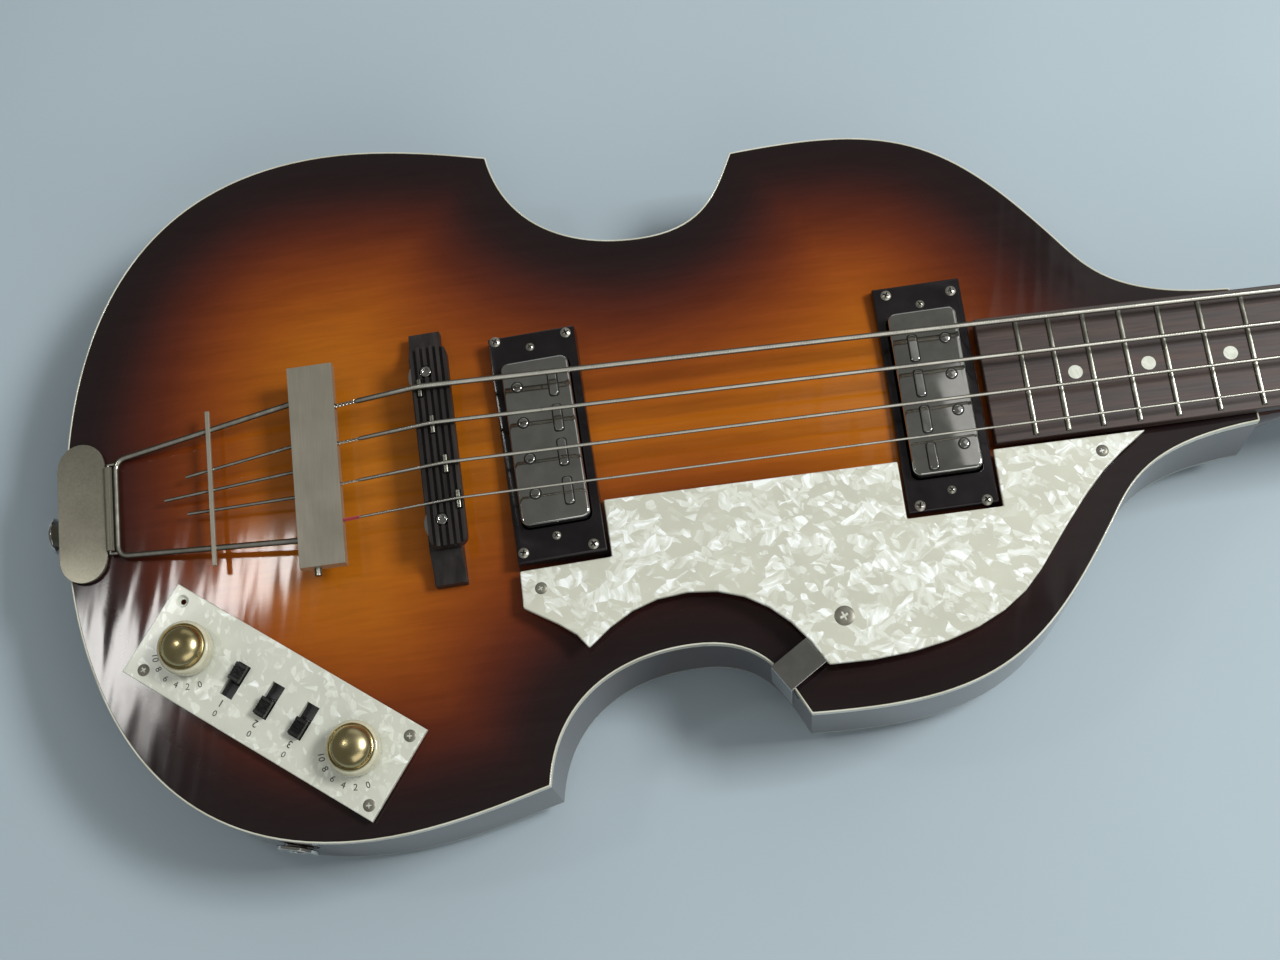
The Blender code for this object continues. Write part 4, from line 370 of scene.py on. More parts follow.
def dark_lacquer():
    look, tree, shader = start_finish("dark_lacquer", Roughness=0.6, Coat_Weight=1.0, Coat_IOR=1.9,
                                      Specular_IOR_Level=0.0)
    flame = grain(tree, 34, (2.4, 0.5, 0.8), 5, roughness=0.6)
    pores = grain(tree, 500, (0.15, 1, 1), 2)
    stain = ramp(tree, flame, (0.3, tone(32, 17, 17)), (0.55, tone(46, 22, 19)),
                 (0.75, tone(58, 27, 21)))
    shade = mixed(tree, spread(tree, pores), (0.9, 0.9, 0.9, 1), (1.06, 1.06, 1.06, 1))
    paint(tree, shader, mixed(tree, 1.0, stain, shade, "MULTIPLY"),
          spread(tree, grain(tree, 40), 0.04, 0.09), "Coat Roughness")
    relief(tree, shader, grain(tree, 22, detail=2), 0.06, 0.0006, "Coat Normal")
    return look


DARK_LACQUER = dark_lacquer()
back = body_skin(back_arch)
bmesh.ops.reverse_faces(back, faces=back.faces)
back_skin = lay("arched_back", back, DARK_LACQUER, stands_for=["back_plate"])
thicken(back_skin, "plate_thickness", PLATE)

# Sides of the body: maple strips bent to the outline and lacquered near black, with a strip of cream
# plastic binding let in along both edges. The jack's hole is bored through the treble side.
JACK = Matrix(((0.9682103, 0, -0.2501373, -0.09), (-0.2501373, 0, -0.9682104, -0.1391274),
               (0, 1, 0, 0.031), (0, 0, 0, 1)))
JACK_HOLE = 0.0058
SIDE_THICK = 0.004


def edge_band(low, high, wide):
    """A band of one height and width that runs right round the body's edge."""
    band = bmesh.new()
    whole = EDGE + [Vector((p.x, -p.y)) for p in reversed(EDGE[1:])]
    corners = [band.verts.new((p.x, p.y, low)) for p in whole]
    floor = band.faces.new(corners)
    floor.normal_update()
    ring = bmesh.ops.inset_region(band, faces=[floor], thickness=wide, use_even_offset=True,
                                  use_boundary=True)["faces"]
    bmesh.ops.delete(band, geom=[floor], context="FACES")
    risen = bmesh.ops.extrude_face_region(band, geom=ring)["geom"]
    risen = [part for part in risen if isinstance(part, bmesh.types.BMVert)]
    bmesh.ops.translate(band, verts=risen, vec=(0, 0, high - low))
    bmesh.ops.recalc_face_normals(band, faces=band.faces)
    return band


def carve(shape, *cutters):
    """Cuts each tool's shape out of the first one."""
    blank = bpy.data.objects.new("blank", as_mesh("blank", shape))
    made = [blank]
    for cutter in cutters:
        bmesh.ops.recalc_face_normals(cutter, faces=cutter.faces)
        tool = bpy.data.objects.new("tool", as_mesh("tool", cutter))
        made.append(tool)
        cut = blank.modifiers.new("cut", "BOOLEAN")
        cut.operation = "DIFFERENCE"
        cut.solver = "MANIFOLD"
        cut.object = tool
    for item in made:
        bench.collection.objects.link(item)
    cut_shape = bmesh.new()
    cut_shape.from_object(blank, bpy.context.evaluated_depsgraph_get())
    for item in made:
        mesh = item.data
        bpy.data.objects.remove(item)
        bpy.data.meshes.remove(mesh)
    return cut_shape


def drum(radius, low, high, steps=32, top_radius=None, place=None):
    """A round bar or hole from low to high."""
    shape = bmesh.new()
    radius_2 = radius if top_radius is None else top_radius
    bmesh.ops.create_cone(shape, cap_ends=True, segments=steps, radius1=radius, radius2=radius_2,
                          depth=high - low, matrix=stand(0, 0, (low + high) / 2))
    return moved(shape, place)


def binding_plastic(name, dark, light):
    look, tree, shader = start_finish(name, Coat_Weight=0.8, Coat_Roughness=0.08)
    aged = ramp(tree, grain(tree, 50, detail=5), (0.3, dark), (0.7, light))
    paint(tree, shader, aged, spread(tree, grain(tree, 160), 0.22, 0.42))
    relief(tree, shader, grain(tree, 120, detail=3), 0.12)
    return look


sides = carve(edge_band(BACK_RIM + BACK_BINDING_HIGH, TOP_RIM - BINDING_HIGH, SIDE_THICK),
              drum(JACK_HOLE, -0.020, 0.004, place=JACK))
lay("body_sides", sides, DARK_LACQUER, stands_for=["rim"], smooth=30)
CREAM = binding_plastic("cream_binding", tone(190, 188, 166), tone(216, 215, 198))
# The back binding is the same cream plastic, painted darker and greyer as painted shade, so that it hardly
# shows along the back edge.
SHADE_DARKENED_CREAM = binding_plastic("shade_darkened_binding", tone(120, 118, 104), tone(150, 148, 132))
for name, low, high, cream in (("top_binding", TOP_RIM - BINDING_HIGH, TOP_RIM, CREAM),
                               ("back_binding", BACK_RIM, BACK_RIM + BACK_BINDING_HIGH, SHADE_DARKENED_CREAM)):
    lay(name + "_strip", edge_band(low, high, BINDING_WIDE), cream, stands_for=[name],
        smooth=30, ease=0.0004)

# Blocks inside the body: bare spruce, glued in before the plates go on. One takes the neck's tongue,
# and the other is what the end button is screwed into.


def one_grain(name, marks, stops, rough, strength, **fixed):
    """A finish whose colour, gloss and relief all follow one grain."""
    look, tree, shader = start_finish(name, **fixed)
    cloud = grain(tree, *marks)
    paint(tree, shader, ramp(tree, cloud, *stops), spread(tree, cloud, *rough))
    relief(tree, shader, cloud, strength)
    return look


def finish_solid(look, *names):
    """Gives solids that are shown as they are their finish."""
    for name in names:
        materials = solids[name].data.materials
        materials.clear()
        materials.append(look)


SPRUCE = one_grain("bare_spruce", (90, (0.2, 2.2, 2.2), 5),
                   ((0.3, tone(176, 136, 86)), (0.7, tone(214, 182, 132))), (0.6, 0.85), 0.3)
finish_solid(SPRUCE, "neck_block", "tail_block")

# Neck: maple, carved in one with its heel, its tongue and the leaned-back head, stained and lacquered
# like the sides. A steel rod lies in a channel under the fingerboard.


def eased_copy(node):
    """A copy of a solid with its seams closed and its flat faces whole."""
    shape = bmesh.new()
    shape.from_mesh(solids[node].data)
    bmesh.ops.remove_doubles(shape, verts=shape.verts, dist=2e-6)
    bmesh.ops.dissolve_limit(shape, angle_limit=math.radians(0.4), verts=shape.verts, edges=shape.edges)
    return shape


def dress(name, node, finish, body="instrument", smooth=35, ease=0.0):
    return lay(name, eased_copy(node), finish, body, None, [node], smooth, ease)


def round_off(tree, colour):
    """Painted reflection on a thin wire: a painted highlight along its crown and painted shade along its
    flanks, multiplied into its colour.
    """
    flank = brew(tree, "LayerWeight", {"Blend": 0.5}).outputs["Facing"]
    painted_crown_and_flanks = ramp(tree, flank, (0.04, (1, 1, 1, 1)), (0.30, (0.16, 0.15, 0.13, 1)))
    return mixed(tree, 1.0, colour, painted_crown_and_flanks, "MULTIPLY")


def plain_metal(name, dark, light, rough, stretch=(1, 1, 1), fineness=300, depth=0.1, shine=1.0,
                thin=False):
    """A metal with the marks of its making: brushed along one way where stretch crowds the other."""
    look, tree, shader = start_finish(name, Metallic=shine)
    marks = grain(tree, fineness, stretch, 5)
    smudge = grain(tree, 45)
    brushed = ramp(tree, marks, (0.25, dark), (0.75, light))
    handled = mixed(tree, spread(tree, smudge), (0.88, 0.88, 0.88, 1), (1.05, 1.05, 1.05, 1))
    colour = mixed(tree, 1.0, brushed, handled, "MULTIPLY")
    gloss = spread(tree, reckon(tree, "MULTIPLY", marks, smudge), *rough, 0.12, 0.4)
    # With thin set, a painted highlight along the crown and painted shade along the flanks are multiplied
    # into the colour.
    paint(tree, shader, round_off(tree, colour) if thin else colour, gloss)
    relief(tree, shader, marks, depth, 0.00008)
    return look


STEEL = plain_metal("plain_steel", tone(150, 150, 152), tone(188, 188, 190), (0.3, 0.5))
dress("neck_and_head", "neck", DARK_LACQUER, smooth=40)
finish_solid(STEEL, "truss_rod")

# Fingerboard: a 5 mm rosewood board glued on the neck, with 22 nickel-silver frets pressed into it and
# round pearl dots let in between them. The fret ends stop short of the board's edge.
NECK = LYING @ stand(NECK_X, 0, TOP_RIM + 0.0066, 2.75, "Y")
SCALE_LONG = 0.760
NUT_X = SCALE_LONG - NECK_X
BOARD_END = -0.1025
BOARD_DEEP = 0.006
FRET_TOP = 0.0010
FRET_WIDE = 0.0020
FRET_SHORT = 0.0012
FRETS = 22
DOT_FRETS = (3, 5, 7, 9, 12, 15, 17, 19, 21)
DOT_RADIUS = 0.0028
DOT_Y = -0.0011
DOT_PAIR = 0.0105


def fret_x(number):
    return NUT_X - SCALE_LONG * (1 - 2 ** (-number / 12))


def board_half(x):
    last = fret_x(FRETS)
    return 0.021 + (NUT_X - x) / (NUT_X - last) * 0.0047


def slab(low, high):
    """A square-edged block between two corners."""
    shape = bmesh.new()
    bmesh.ops.create_cube(shape, size=1)
    bmesh.ops.scale(shape, vec=[b - a for a, b in zip(low, high)], verts=shape.verts)
    bmesh.ops.translate(shape, vec=[(a + b) / 2 for a, b in zip(low, high)], verts=shape.verts)
    return shape


def join(*shapes):
    """Several shapes kept as one piece."""
    whole = bmesh.new()
    for shape in shapes:
        mesh = as_mesh("part", shape)
        whole.from_mesh(mesh)
        bpy.data.meshes.remove(mesh)
    return whole


def standing_edges(shape, tall=0.001):
    """The edges that stand up, and are at least so tall."""
    return [e for e in shape.edges if abs(e.verts[0].co.z - e.verts[1].co.z) > tall]


def edges_above(shape, height):
    """The edges that lie above a height."""
    return [e for e in shape.edges if all(v.co.z > height for v in e.verts)]


def round_over(shape, edges, radius, segments):
    bmesh.ops.bevel(shape, geom=edges, offset=radius, segments=segments, profile=0.5, affect="EDGES",
                    material=-1)


def rosewood():
    look, tree, shader = start_finish("oiled_rosewood", Coat_Weight=0.15, Coat_Roughness=0.3)
    streaks = grain(tree, 110, (0.10, 2.4, 1), 7, roughness=0.68)
    bands = grain(tree, 26, (0.25, 2.2, 1), 3)
    pores = grain(tree, 900, (0.06, 1.3, 1), 2, roughness=0.4)
    wood = ramp(tree, streaks, (0.28, tone(34, 24, 21)), (0.45, tone(54, 39, 33)),
                (0.6, tone(69, 51, 42)), (0.78, tone(88, 66, 53)))
    banded = mixed(tree, spread(tree, bands), (0.80, 0.78, 0.78, 1), (1.12, 1.10, 1.08, 1))
    pored = mixed(tree, spread(tree, pores, 0.0, 1.0, 0.35, 0.5), (0.62, 0.60, 0.60, 1), (1, 1, 1, 1))
    shade = mixed(tree, 1.0, banded, pored, "MULTIPLY")
    paint(tree, shader, mixed(tree, 1.0, wood, shade, "MULTIPLY"), spread(tree, streaks, 0.42, 0.62))
    relief(tree, shader, pores, 0.35, 0.0001)
    return look


board = slab((BOARD_END, -1, -BOARD_DEEP), (NUT_X - 0.0003, 1, -FRET_TOP))
for corner in board.verts:
    corner.co.y = math.copysign(board_half(corner.co.x), corner.co.y)
lay("rosewood_board", board, rosewood(), place=NECK, stands_for=["fingerboard"],
    ease=0.0005)

FRET_METAL = plain_metal("fret_nickel", tone(142, 141, 130), tone(186, 186, 172), (0.24, 0.42),
                         (1, 0.2, 1), 600)
frets = []
for number in range(1, FRETS + 1):
    x, half = fret_x(number), board_half(fret_x(number)) - FRET_SHORT
    fret = slab((x - FRET_WIDE / 2, -half, -FRET_TOP - 0.0004), (x + FRET_WIDE / 2, half, 0))
    round_over(fret, edges_above(fret, -0.0001), 0.0007, 4)
    frets.append(fret)
lay("pressed_frets", join(*frets), FRET_METAL, place=NECK, smooth=60)

dots = []
for number in DOT_FRETS:
    middle = (fret_x(number) + fret_x(number - 1)) / 2
    for y in ((DOT_Y - DOT_PAIR, DOT_Y + DOT_PAIR) if number == 12 else (DOT_Y,)):
        dots.append(drum(DOT_RADIUS, -0.0015, -FRET_TOP + 0.00006, 28, place=stand(middle, y)))
PEARL_DOT = one_grain("white_pearl_dot", (260, (1, 1, 1), 3, 0.0, 0.55, 1.5),
                      ((0.3, tone(196, 200, 184)), (0.7, tone(214, 217, 202))), (0.18, 0.35), 0.05,
                      Coat_Weight=0.5)
lay("pearl_dots", join(*dots), PEARL_DOT, place=NECK)

# Nut: a bone bar with a slot filed for each string. It is glued across the end of the board, where
# the head begins.
BONE = one_grain("filed_bone", (240, (1, 0.3, 1), 5),
                 ((0.3, tone(214, 206, 180)), (0.7, tone(236, 231, 212))), (0.3, 0.5), 0.12)
dress("bone_nut", "nut", BONE, ease=0.0003)

# Truss-rod cover: a small plate of black plastic, cut narrower towards the head's tip. Three screws
# hold it over the end of the rod.
HEAD = NECK @ stand(NUT_X + 0.005, 0, -0.0063, 10, "Y")
ROD_COVER_HIGH = 0.0018
SCREW_RISE = 0.0009


def gloss_plastic(name, dark, light, rough):
    look, tree, shader = start_finish(name, Specular_IOR_Level=0.4)
    haze = grain(tree, 70, detail=5)
    paint(tree, shader, ramp(tree, haze, (0.3, dark), (0.7, light)), spread(tree, haze, *rough))
    relief(tree, shader, grain(tree, 500, (1, 0.25, 1), 3), 0.04)
    return look


def turned_shape(profile, steps=48):
    """A round piece turned from its profile of radius and height."""
    shape = bmesh.new()
    spots = [shape.verts.new((radius, 0, height)) for radius, height in profile]
    line = [shape.edges.new(pair) for pair in zip(spots, spots[1:])]
    bmesh.ops.spin(shape, geom=spots + line, cent=(0, 0, 0), axis=(0, 0, 1), angle=math.tau, steps=steps,
                   use_merge=True)
    bmesh.ops.remove_doubles(shape, verts=shape.verts, dist=1e-6)
    bmesh.ops.recalc_face_normals(shape, faces=shape.faces)
    return shape


def screw_blank(radius, flat):
    """A screw head with a deep crossed recess, its rim at height 0: oval, or nearly flat."""
    rise = SCREW_RISE * (0.5 if flat else 1.0)
    profile = [(0, -0.0008), (radius, -0.0008), (radius, 0)]
    for share in (0.93, 0.82, 0.66, 0.46, 0.24, 0.0):
        profile.append((radius * share, rise * (1 - share ** (4 if flat else 2))))
    arm, thin = radius * (0.48 if flat else 0.58), radius * 0.13
    cuts = [slab((-x, -y, -0.0005), (x, y, rise * 2)) for x, y in ((arm, thin), (thin, arm))]
    return carve(turned_shape(profile, 28), *cuts)


def screws(name, spots, radius, finish, body="instrument", place=LYING, flat=False):
    """A group of like screws: each spot is a place and how far the head is turned."""
    pattern = as_mesh("screw_pattern", screw_blank(radius, flat))
    heads = []
    for spot, turned in spots:
        head = bmesh.new()
        head.from_mesh(pattern)
        at = spot if isinstance(spot, Matrix) else Matrix.Translation(spot)
        heads.append(moved(head, at @ Matrix.Rotation(turned, 4, "Z")))
    bpy.data.meshes.remove(pattern)
    return lay(name, join(*heads), finish, body, place, smooth=50)


SCREW_METAL = plain_metal("screw_nickel", tone(146, 143, 132), tone(190, 187, 175), (0.22, 0.36), shine=0.8)
BLACK = gloss_plastic("black_gloss", tone(17, 15, 15), tone(25, 22, 23), (0.2, 0.34))
cover = slab((0.0045, -0.0095, 0.0002), (0.034, 0.0095, ROD_COVER_HIGH))
for corner in cover.verts:
    if corner.co.x > 0.02:
        corner.co.y *= 0.42
round_over(cover, standing_edges(cover), 0.0028, 5)
lay("truss_rod_cover", cover, BLACK, place=HEAD, ease=0.0003)
spots = [((x, y, ROD_COVER_HIGH), turned)
         for x, y, turned in ((0.0075, 0.0065, 0.4), (0.0075, -0.0065, 1.1), (0.0305, 0, 0.2))]
screws("truss_rod_cover_screws", spots, 0.0014, SCREW_METAL, place=HEAD)

# Tuners: a plate with two gear housings on each side of the head's back, four posts with their gear
# wheels, and four keys whose worms turn them. All are nickel plated; the plates are screwed on.
NICKEL = plain_metal("worn_nickel", tone(152, 150, 142), tone(196, 194, 184), (0.16, 0.32))
TUNERS = (("e", 0.046, 1), ("a", 0.108, 1), ("d", 0.108, -1), ("g", 0.046, -1))
TUNER_Y = 0.0215
POST_LOW = -0.0180
POST_HIGH = 0.014
POST_RADIUS = 0.0045
POST_BORE = 0.0011
POST_SLOT = 0.0018
GEAR_HIGH = -0.0165
PLATE_SCREW_SPOTS = (0.0345, 0.0795, 0.1265)
TURNS_HIGH = 0.0082
TURN_STEPS = 24
STRING_RADII = {"e": 0.0011, "a": 0.00085, "d": 0.0007, "g": 0.0005}


def wire(points, radius, sides=12, radii=None):
    """A round wire bent through its points, with a closed end on both sides."""
    points = [Vector(p) for p in points]
    rod = bmesh.new()
    bmesh.ops.create_circle(rod, cap_ends=True, segments=sides, radius=1)
    ring = rod.verts[:]
    before = Matrix.Identity(4)
    rail = Vector((0, 0, 1))
    for i, point in enumerate(points):
        back = (point - points[i - 1]).normalized() if i else None
        on = (points[i + 1] - point).normalized() if i + 1 < len(points) else back
        way = ((back or on) + on).normalized()
        across = rail.cross(way).normalized() if abs(rail.dot(way)) < 0.98 else Vector((0, 1, 0))
        rise = way.cross(across)
        wide = radii[i] if radii else radius
        turn = Matrix((across * wide, rise * wide, way * wide)).transposed().to_4x4()
        here = Matrix.Translation(point) @ turn
        if i:
            edges = list({e for v in ring for e in v.link_edges if all(w in ring for w in e.verts)})
            drawn = bmesh.ops.extrude_edge_only(rod, edges=edges)["geom"]
            ring = [part for part in drawn if isinstance(part, bmesh.types.BMVert)]
        bmesh.ops.transform(rod, matrix=here @ before.inverted(), verts=ring)
        before = here
    bmesh.ops.holes_fill(rod, edges=rod.edges, sides=sides)
    bmesh.ops.recalc_face_normals(rod, faces=rod.faces)
    return rod


def string_metal(name, dark, light):
    """Flat-wound steel: fine turns across the string, dull from playing."""
    look, tree, shader = start_finish(name, Metallic=0.6)
    where = brew(tree, "TexCoord").outputs["Object"]
    turns = brew(tree, "TexWave", {"Vector": where, "Scale": 520.0, "Distortion": 0.2, "Detail": 1.0},
                 wave_type="BANDS", bands_direction="X").outputs["Fac"]
    dull = grain(tree, 90)
    wound = mixed(tree, turns, mixed(tree, spread(tree, dull), dark, light), light)
    # A painted highlight along the string's crown and painted shade along its flanks are multiplied into
    # its colour.
    paint(tree, shader, round_off(tree, wound), spread(tree, dull, 0.22, 0.36))
    relief(tree, shader, turns, 0.25, 0.00006)
    return look


STRING_METAL = string_metal("wound_steel", tone(170, 167, 155), tone(208, 206, 194))
for name, x, side in TUNERS:
    node, y = "tuner_post_" + name, side * TUNER_Y
    at = stand(x, y)
    slot_cut = slab((x - POST_SLOT / 2, y - 0.006, POST_HIGH - 0.0045),
                    (x + POST_SLOT / 2, y + 0.006, POST_HIGH + 0.002))
    post = carve(drum(POST_RADIUS, POST_LOW, POST_HIGH, place=at), slot_cut,
                 drum(POST_BORE, POST_HIGH - 0.009, POST_HIGH + 0.002, 16, place=at))
    gear = moved(eased_copy(node), HEAD.inverted())
    shank = [v for v in gear.verts if v.co.z > GEAR_HIGH]
    bmesh.ops.delete(gear, geom=shank, context="VERTS")
    bmesh.ops.holes_fill(gear, edges=[e for e in gear.edges if e.is_boundary], sides=200)
    lay("slotted_post_" + name, join(post, gear), NICKEL, node, HEAD, [node], ease=0.0003)
    thin = STRING_RADII[name]
    reach = POST_RADIUS + thin * 0.9
    coil = []
    for step in range(3 * TURN_STEPS + 1):
        angle = side * (math.pi / 2 + math.tau * step / TURN_STEPS)
        coil.append((x + reach * math.cos(angle), y + reach * math.sin(angle),
                     TURNS_HIGH - 2.05 * thin * step / TURN_STEPS))
    lay("wound_turns_" + name, wire(coil, thin, 8), STRING_METAL, node, HEAD, smooth=70)
    key = "tuner_key_" + name
    dress("tuner_key_plated_" + name, key, NICKEL, key, ease=0.0005)
for side in ("bass", "treble"):
    dress("tuner_housing_" + side, "tuner_plate_" + side, NICKEL, ease=0.0005)
plate_screws = []
for side in (1, -1):
    for number, x in enumerate(PLATE_SCREW_SPOTS):
        plate_screws.append((stand(x, side * TUNER_Y, -0.0160, 180, "X"), number * 0.7 + side))
screws("tuner_plate_screws", plate_screws, 0.0018, SCREW_METAL, place=HEAD)

# Strings: flat-wound steel, anchored under the tailpiece cover, bent over the saddles and run to the
# posts. At the tail each core is looped back and twisted on itself, but the thinnest has red silk.
STRING_RUNS = {
    "e": ((-0.05642, 0.02334, 0.07264), (-0.01937, 0.02334, 0.0816), (0.7596, 0.01575, 0.04013),
          (0.76459, 0.01575, 0.03989), (0.81057, 0.0156, 0.02767)),
    "a": ((-0.05641, 0.00791, 0.07263), (-0.01566, 0.00791, 0.08135), (0.75958, 0.00525, 0.03988),
          (0.76458, 0.00525, 0.03964), (0.87104, 0.01585, 0.01399)),
    "d": ((-0.05641, -0.00872, 0.07261), (-0.01192, -0.00872, 0.0812), (0.75958, -0.00525, 0.03973),
          (0.76457, -0.00525, 0.03949), (0.87104, -0.016, 0.01399)),
    "g": ((-0.05641, -0.02345, 0.0726), (-0.00823, -0.02345, 0.081), (0.75957, -0.01575, 0.03953),
          (0.76456, -0.01575, 0.03929), (0.81057, -0.0162, 0.02767)),
}
CORE_LONG = {"e": 0.0108, "a": 0.0108, "d": 0.0095, "g": 0.0085}
TWIST_STEP = 0.0003
TWIST_LONG = 0.0030
SILK = one_grain("red_silk", (2600, (1, 0.3, 1), 3),
                 ((0.3, tone(120, 12, 26)), (0.7, tone(176, 26, 44))), (0.55, 0.8), 0.4, Sheen_Weight=0.4)
CORE_METAL = plain_metal("string_core", tone(176, 173, 160), tone(232, 230, 218), (0.2, 0.32),
                         fineness=2400)
for name, run in STRING_RUNS.items():
    run = [Vector(p) for p in run]
    thick = STRING_RADII[name]
    way, onward = (run[1] - run[0]).normalized(), (run[2] - run[1]).normalized()
    core_end = run[0] + way * CORE_LONG[name]
    bend = [run[1] - way * 0.003, run[1] - way * 0.0012 + Vector((0, 0, -0.00002)),
            run[1] + onward * 0.0012, run[1] + onward * 0.003]
    lay("wound_string_" + name, wire([core_end, core_end + way * 0.0015, *bend, *run[2:]], thick,
                                     radii=[thick * 0.6] + [thick] * (len(bend) + 4)),
        STRING_METAL, stands_for=["string_" + name], smooth=70)
    if name == "g":
        lay("tail_end_g", wire([run[0], core_end + way * 0.0004], thick * 1.3), SILK,
            smooth=70)
        continue
    across = way.cross(Vector((0, 1, 0))).normalized()
    strands = []
    for start in (0, math.pi):
        twisted = []
        for step in range(int(CORE_LONG[name] / TWIST_STEP) + 1):
            turn = start + math.tau * step * TWIST_STEP / TWIST_LONG
            out = math.cos(turn) * Vector((0, 1, 0)) + math.sin(turn) * across
            twisted.append(run[0] + way * step * TWIST_STEP + out * thick * 0.42)
        strands.append(wire(twisted, thick * 0.40, 8))
    lay("tail_end_" + name, join(*strands), CORE_METAL, smooth=70)

# Bridge: two pieces of ebony. The foot stands on the top, cut to its arch; the grooved upper piece
# rides on two posts and is set by thumbwheels. Short lengths of fret wire in its grooves are saddles.
BRIDGE = LYING @ stand(-0.0160, 0, TOP_RIM, 1.15)
BRIDGE_TOP_HIGH = 0.0260
BRIDGE_POST_Y = 0.0302
BRIDGE_POST_LOW = 0.0105
BRIDGE_POST_RADIUS = 0.0021
WHEEL_LOW = 0.0188
WHEEL_THICK = 0.0022
WHEEL_RADIUS = 0.0078
WHEEL_TEETH = 48
CHROME = plain_metal("polished_chrome", tone(196, 195, 192), tone(222, 221, 218), (0.05, 0.12),
                     fineness=120, depth=0.02)
EBONY = one_grain("rubbed_ebony", (240, (1.2, 0.12, 1), 5, 0.0, 0.6),
                  ((0.3, tone(30, 27, 26)), (0.55, tone(42, 38, 36)), (0.78, tone(60, 55, 52))),
                  (0.34, 0.55), 0.2, Specular_IOR_Level=0.3)
dress("ebony_foot", "bridge_base", EBONY, ease=0.0006)
dress("ebony_upper", "bridge_top", EBONY, "bridge_top", ease=0.0003)
for name in "eadg":
    dress("fret_wire_saddle_" + name, "saddle_" + name, FRET_METAL, "bridge_top", ease=0.0001)
for side, y in (("bass", BRIDGE_POST_Y), ("treble", -BRIDGE_POST_Y)):
    at = stand(0, y)
    post = carve(drum(BRIDGE_POST_RADIUS, BRIDGE_POST_LOW, BRIDGE_TOP_HIGH - 0.0001, 28, place=at),
                 drum(0.0013, BRIDGE_TOP_HIGH - 0.0014, BRIDGE_TOP_HIGH + 0.002, 20, place=at))
    lay("bridge_screw_" + side, post, CHROME, place=BRIDGE, stands_for=["bridge_post_" + side],
        ease=0.0002)
    wheel = drum(WHEEL_RADIUS, WHEEL_LOW, WHEEL_LOW + WHEEL_THICK, 2 * WHEEL_TEETH)
    for spot in wheel.verts:
        if round(math.degrees(math.atan2(spot.co.y, spot.co.x)) / (180 / WHEEL_TEETH)) % 2:
            spot.co.x *= 0.965
            spot.co.y *= 0.965
    wheel = carve(wheel, drum(0.0025, WHEEL_LOW - 0.001, WHEEL_LOW + 0.004, 24))
    lay("knurled_wheel_" + side, moved(wheel, at), CHROME, "thumbwheel_" + side, BRIDGE,
        ["thumbwheel_" + side], smooth=30)

# Pickups: a coil and magnet in a folded chrome cover with round poles and oblong blades through it. Each
# hangs on two height screws in a black plastic ring, which four screws hold to the top.
COVER_RISE = 0.0046
COVER_DEEP = 0.0130
COVER_WALL = 0.0008
POLE_RADIUS = 0.0020
POLE_RISE = 0.0007
BLADE_HALF = (0.0017, 0.0054)
BLADE_RISE = 0.0008
GAP_WIDE = 0.0004
GAP_RISE = 0.00004
POLES = {"bridge": [(-0.0078, 0.0227), (-0.0073, 0.0078), (-0.0067, -0.0071), (-0.0064, -0.0214)],
         "neck": [(0.0074, 0.0204), (0.0074, 0.0054), (0.0074, -0.0095), (0.0074, -0.0233)]}
BLADES = {"bridge": [(0.0063, 0.0223), (0.0063, 0.0076), (0.0063, -0.0066), (0.0063, -0.0223)],
          "neck": [(-0.0053, 0.0178), (-0.0053, 0.0032), (-0.0053, -0.0116), (-0.0053, -0.0267)]}
RING_SCREWS = {"bridge": [(-0.0145, 0.0450), (0.0137, 0.0440), (-0.0145, -0.0426), (0.0125, -0.0436)],
               "neck": [(-0.0120, 0.0432), (0.0133, 0.0414), (-0.0126, -0.0441), (0.0128, -0.0453)]}
HEIGHT_SCREWS = {"bridge": [(-0.0010, 0.0405), (-0.0010, -0.0378)],
                 "neck": [(0.0006, 0.0376), (0.0003, -0.0395)]}
RING_PLASTIC = gloss_plastic("ring_black", tone(20, 17, 18), tone(29, 25, 26), (0.12, 0.26))
# Painted shade: a near-black band round each pole and blade stands in for the shadowed clearance of its
# hole in the cover.
POLE_GAP_SHADE = gloss_plastic("painted_pole_gap_shade", tone(14, 13, 13), tone(22, 21, 20), (0.4, 0.6))
COIL = one_grain("enamelled_copper", (900, (1, 1, 6), 2),
                 ((0.3, tone(86, 34, 20)), (0.7, tone(150, 70, 40))), (0.3, 0.5), 0.4, Metallic=0.7)
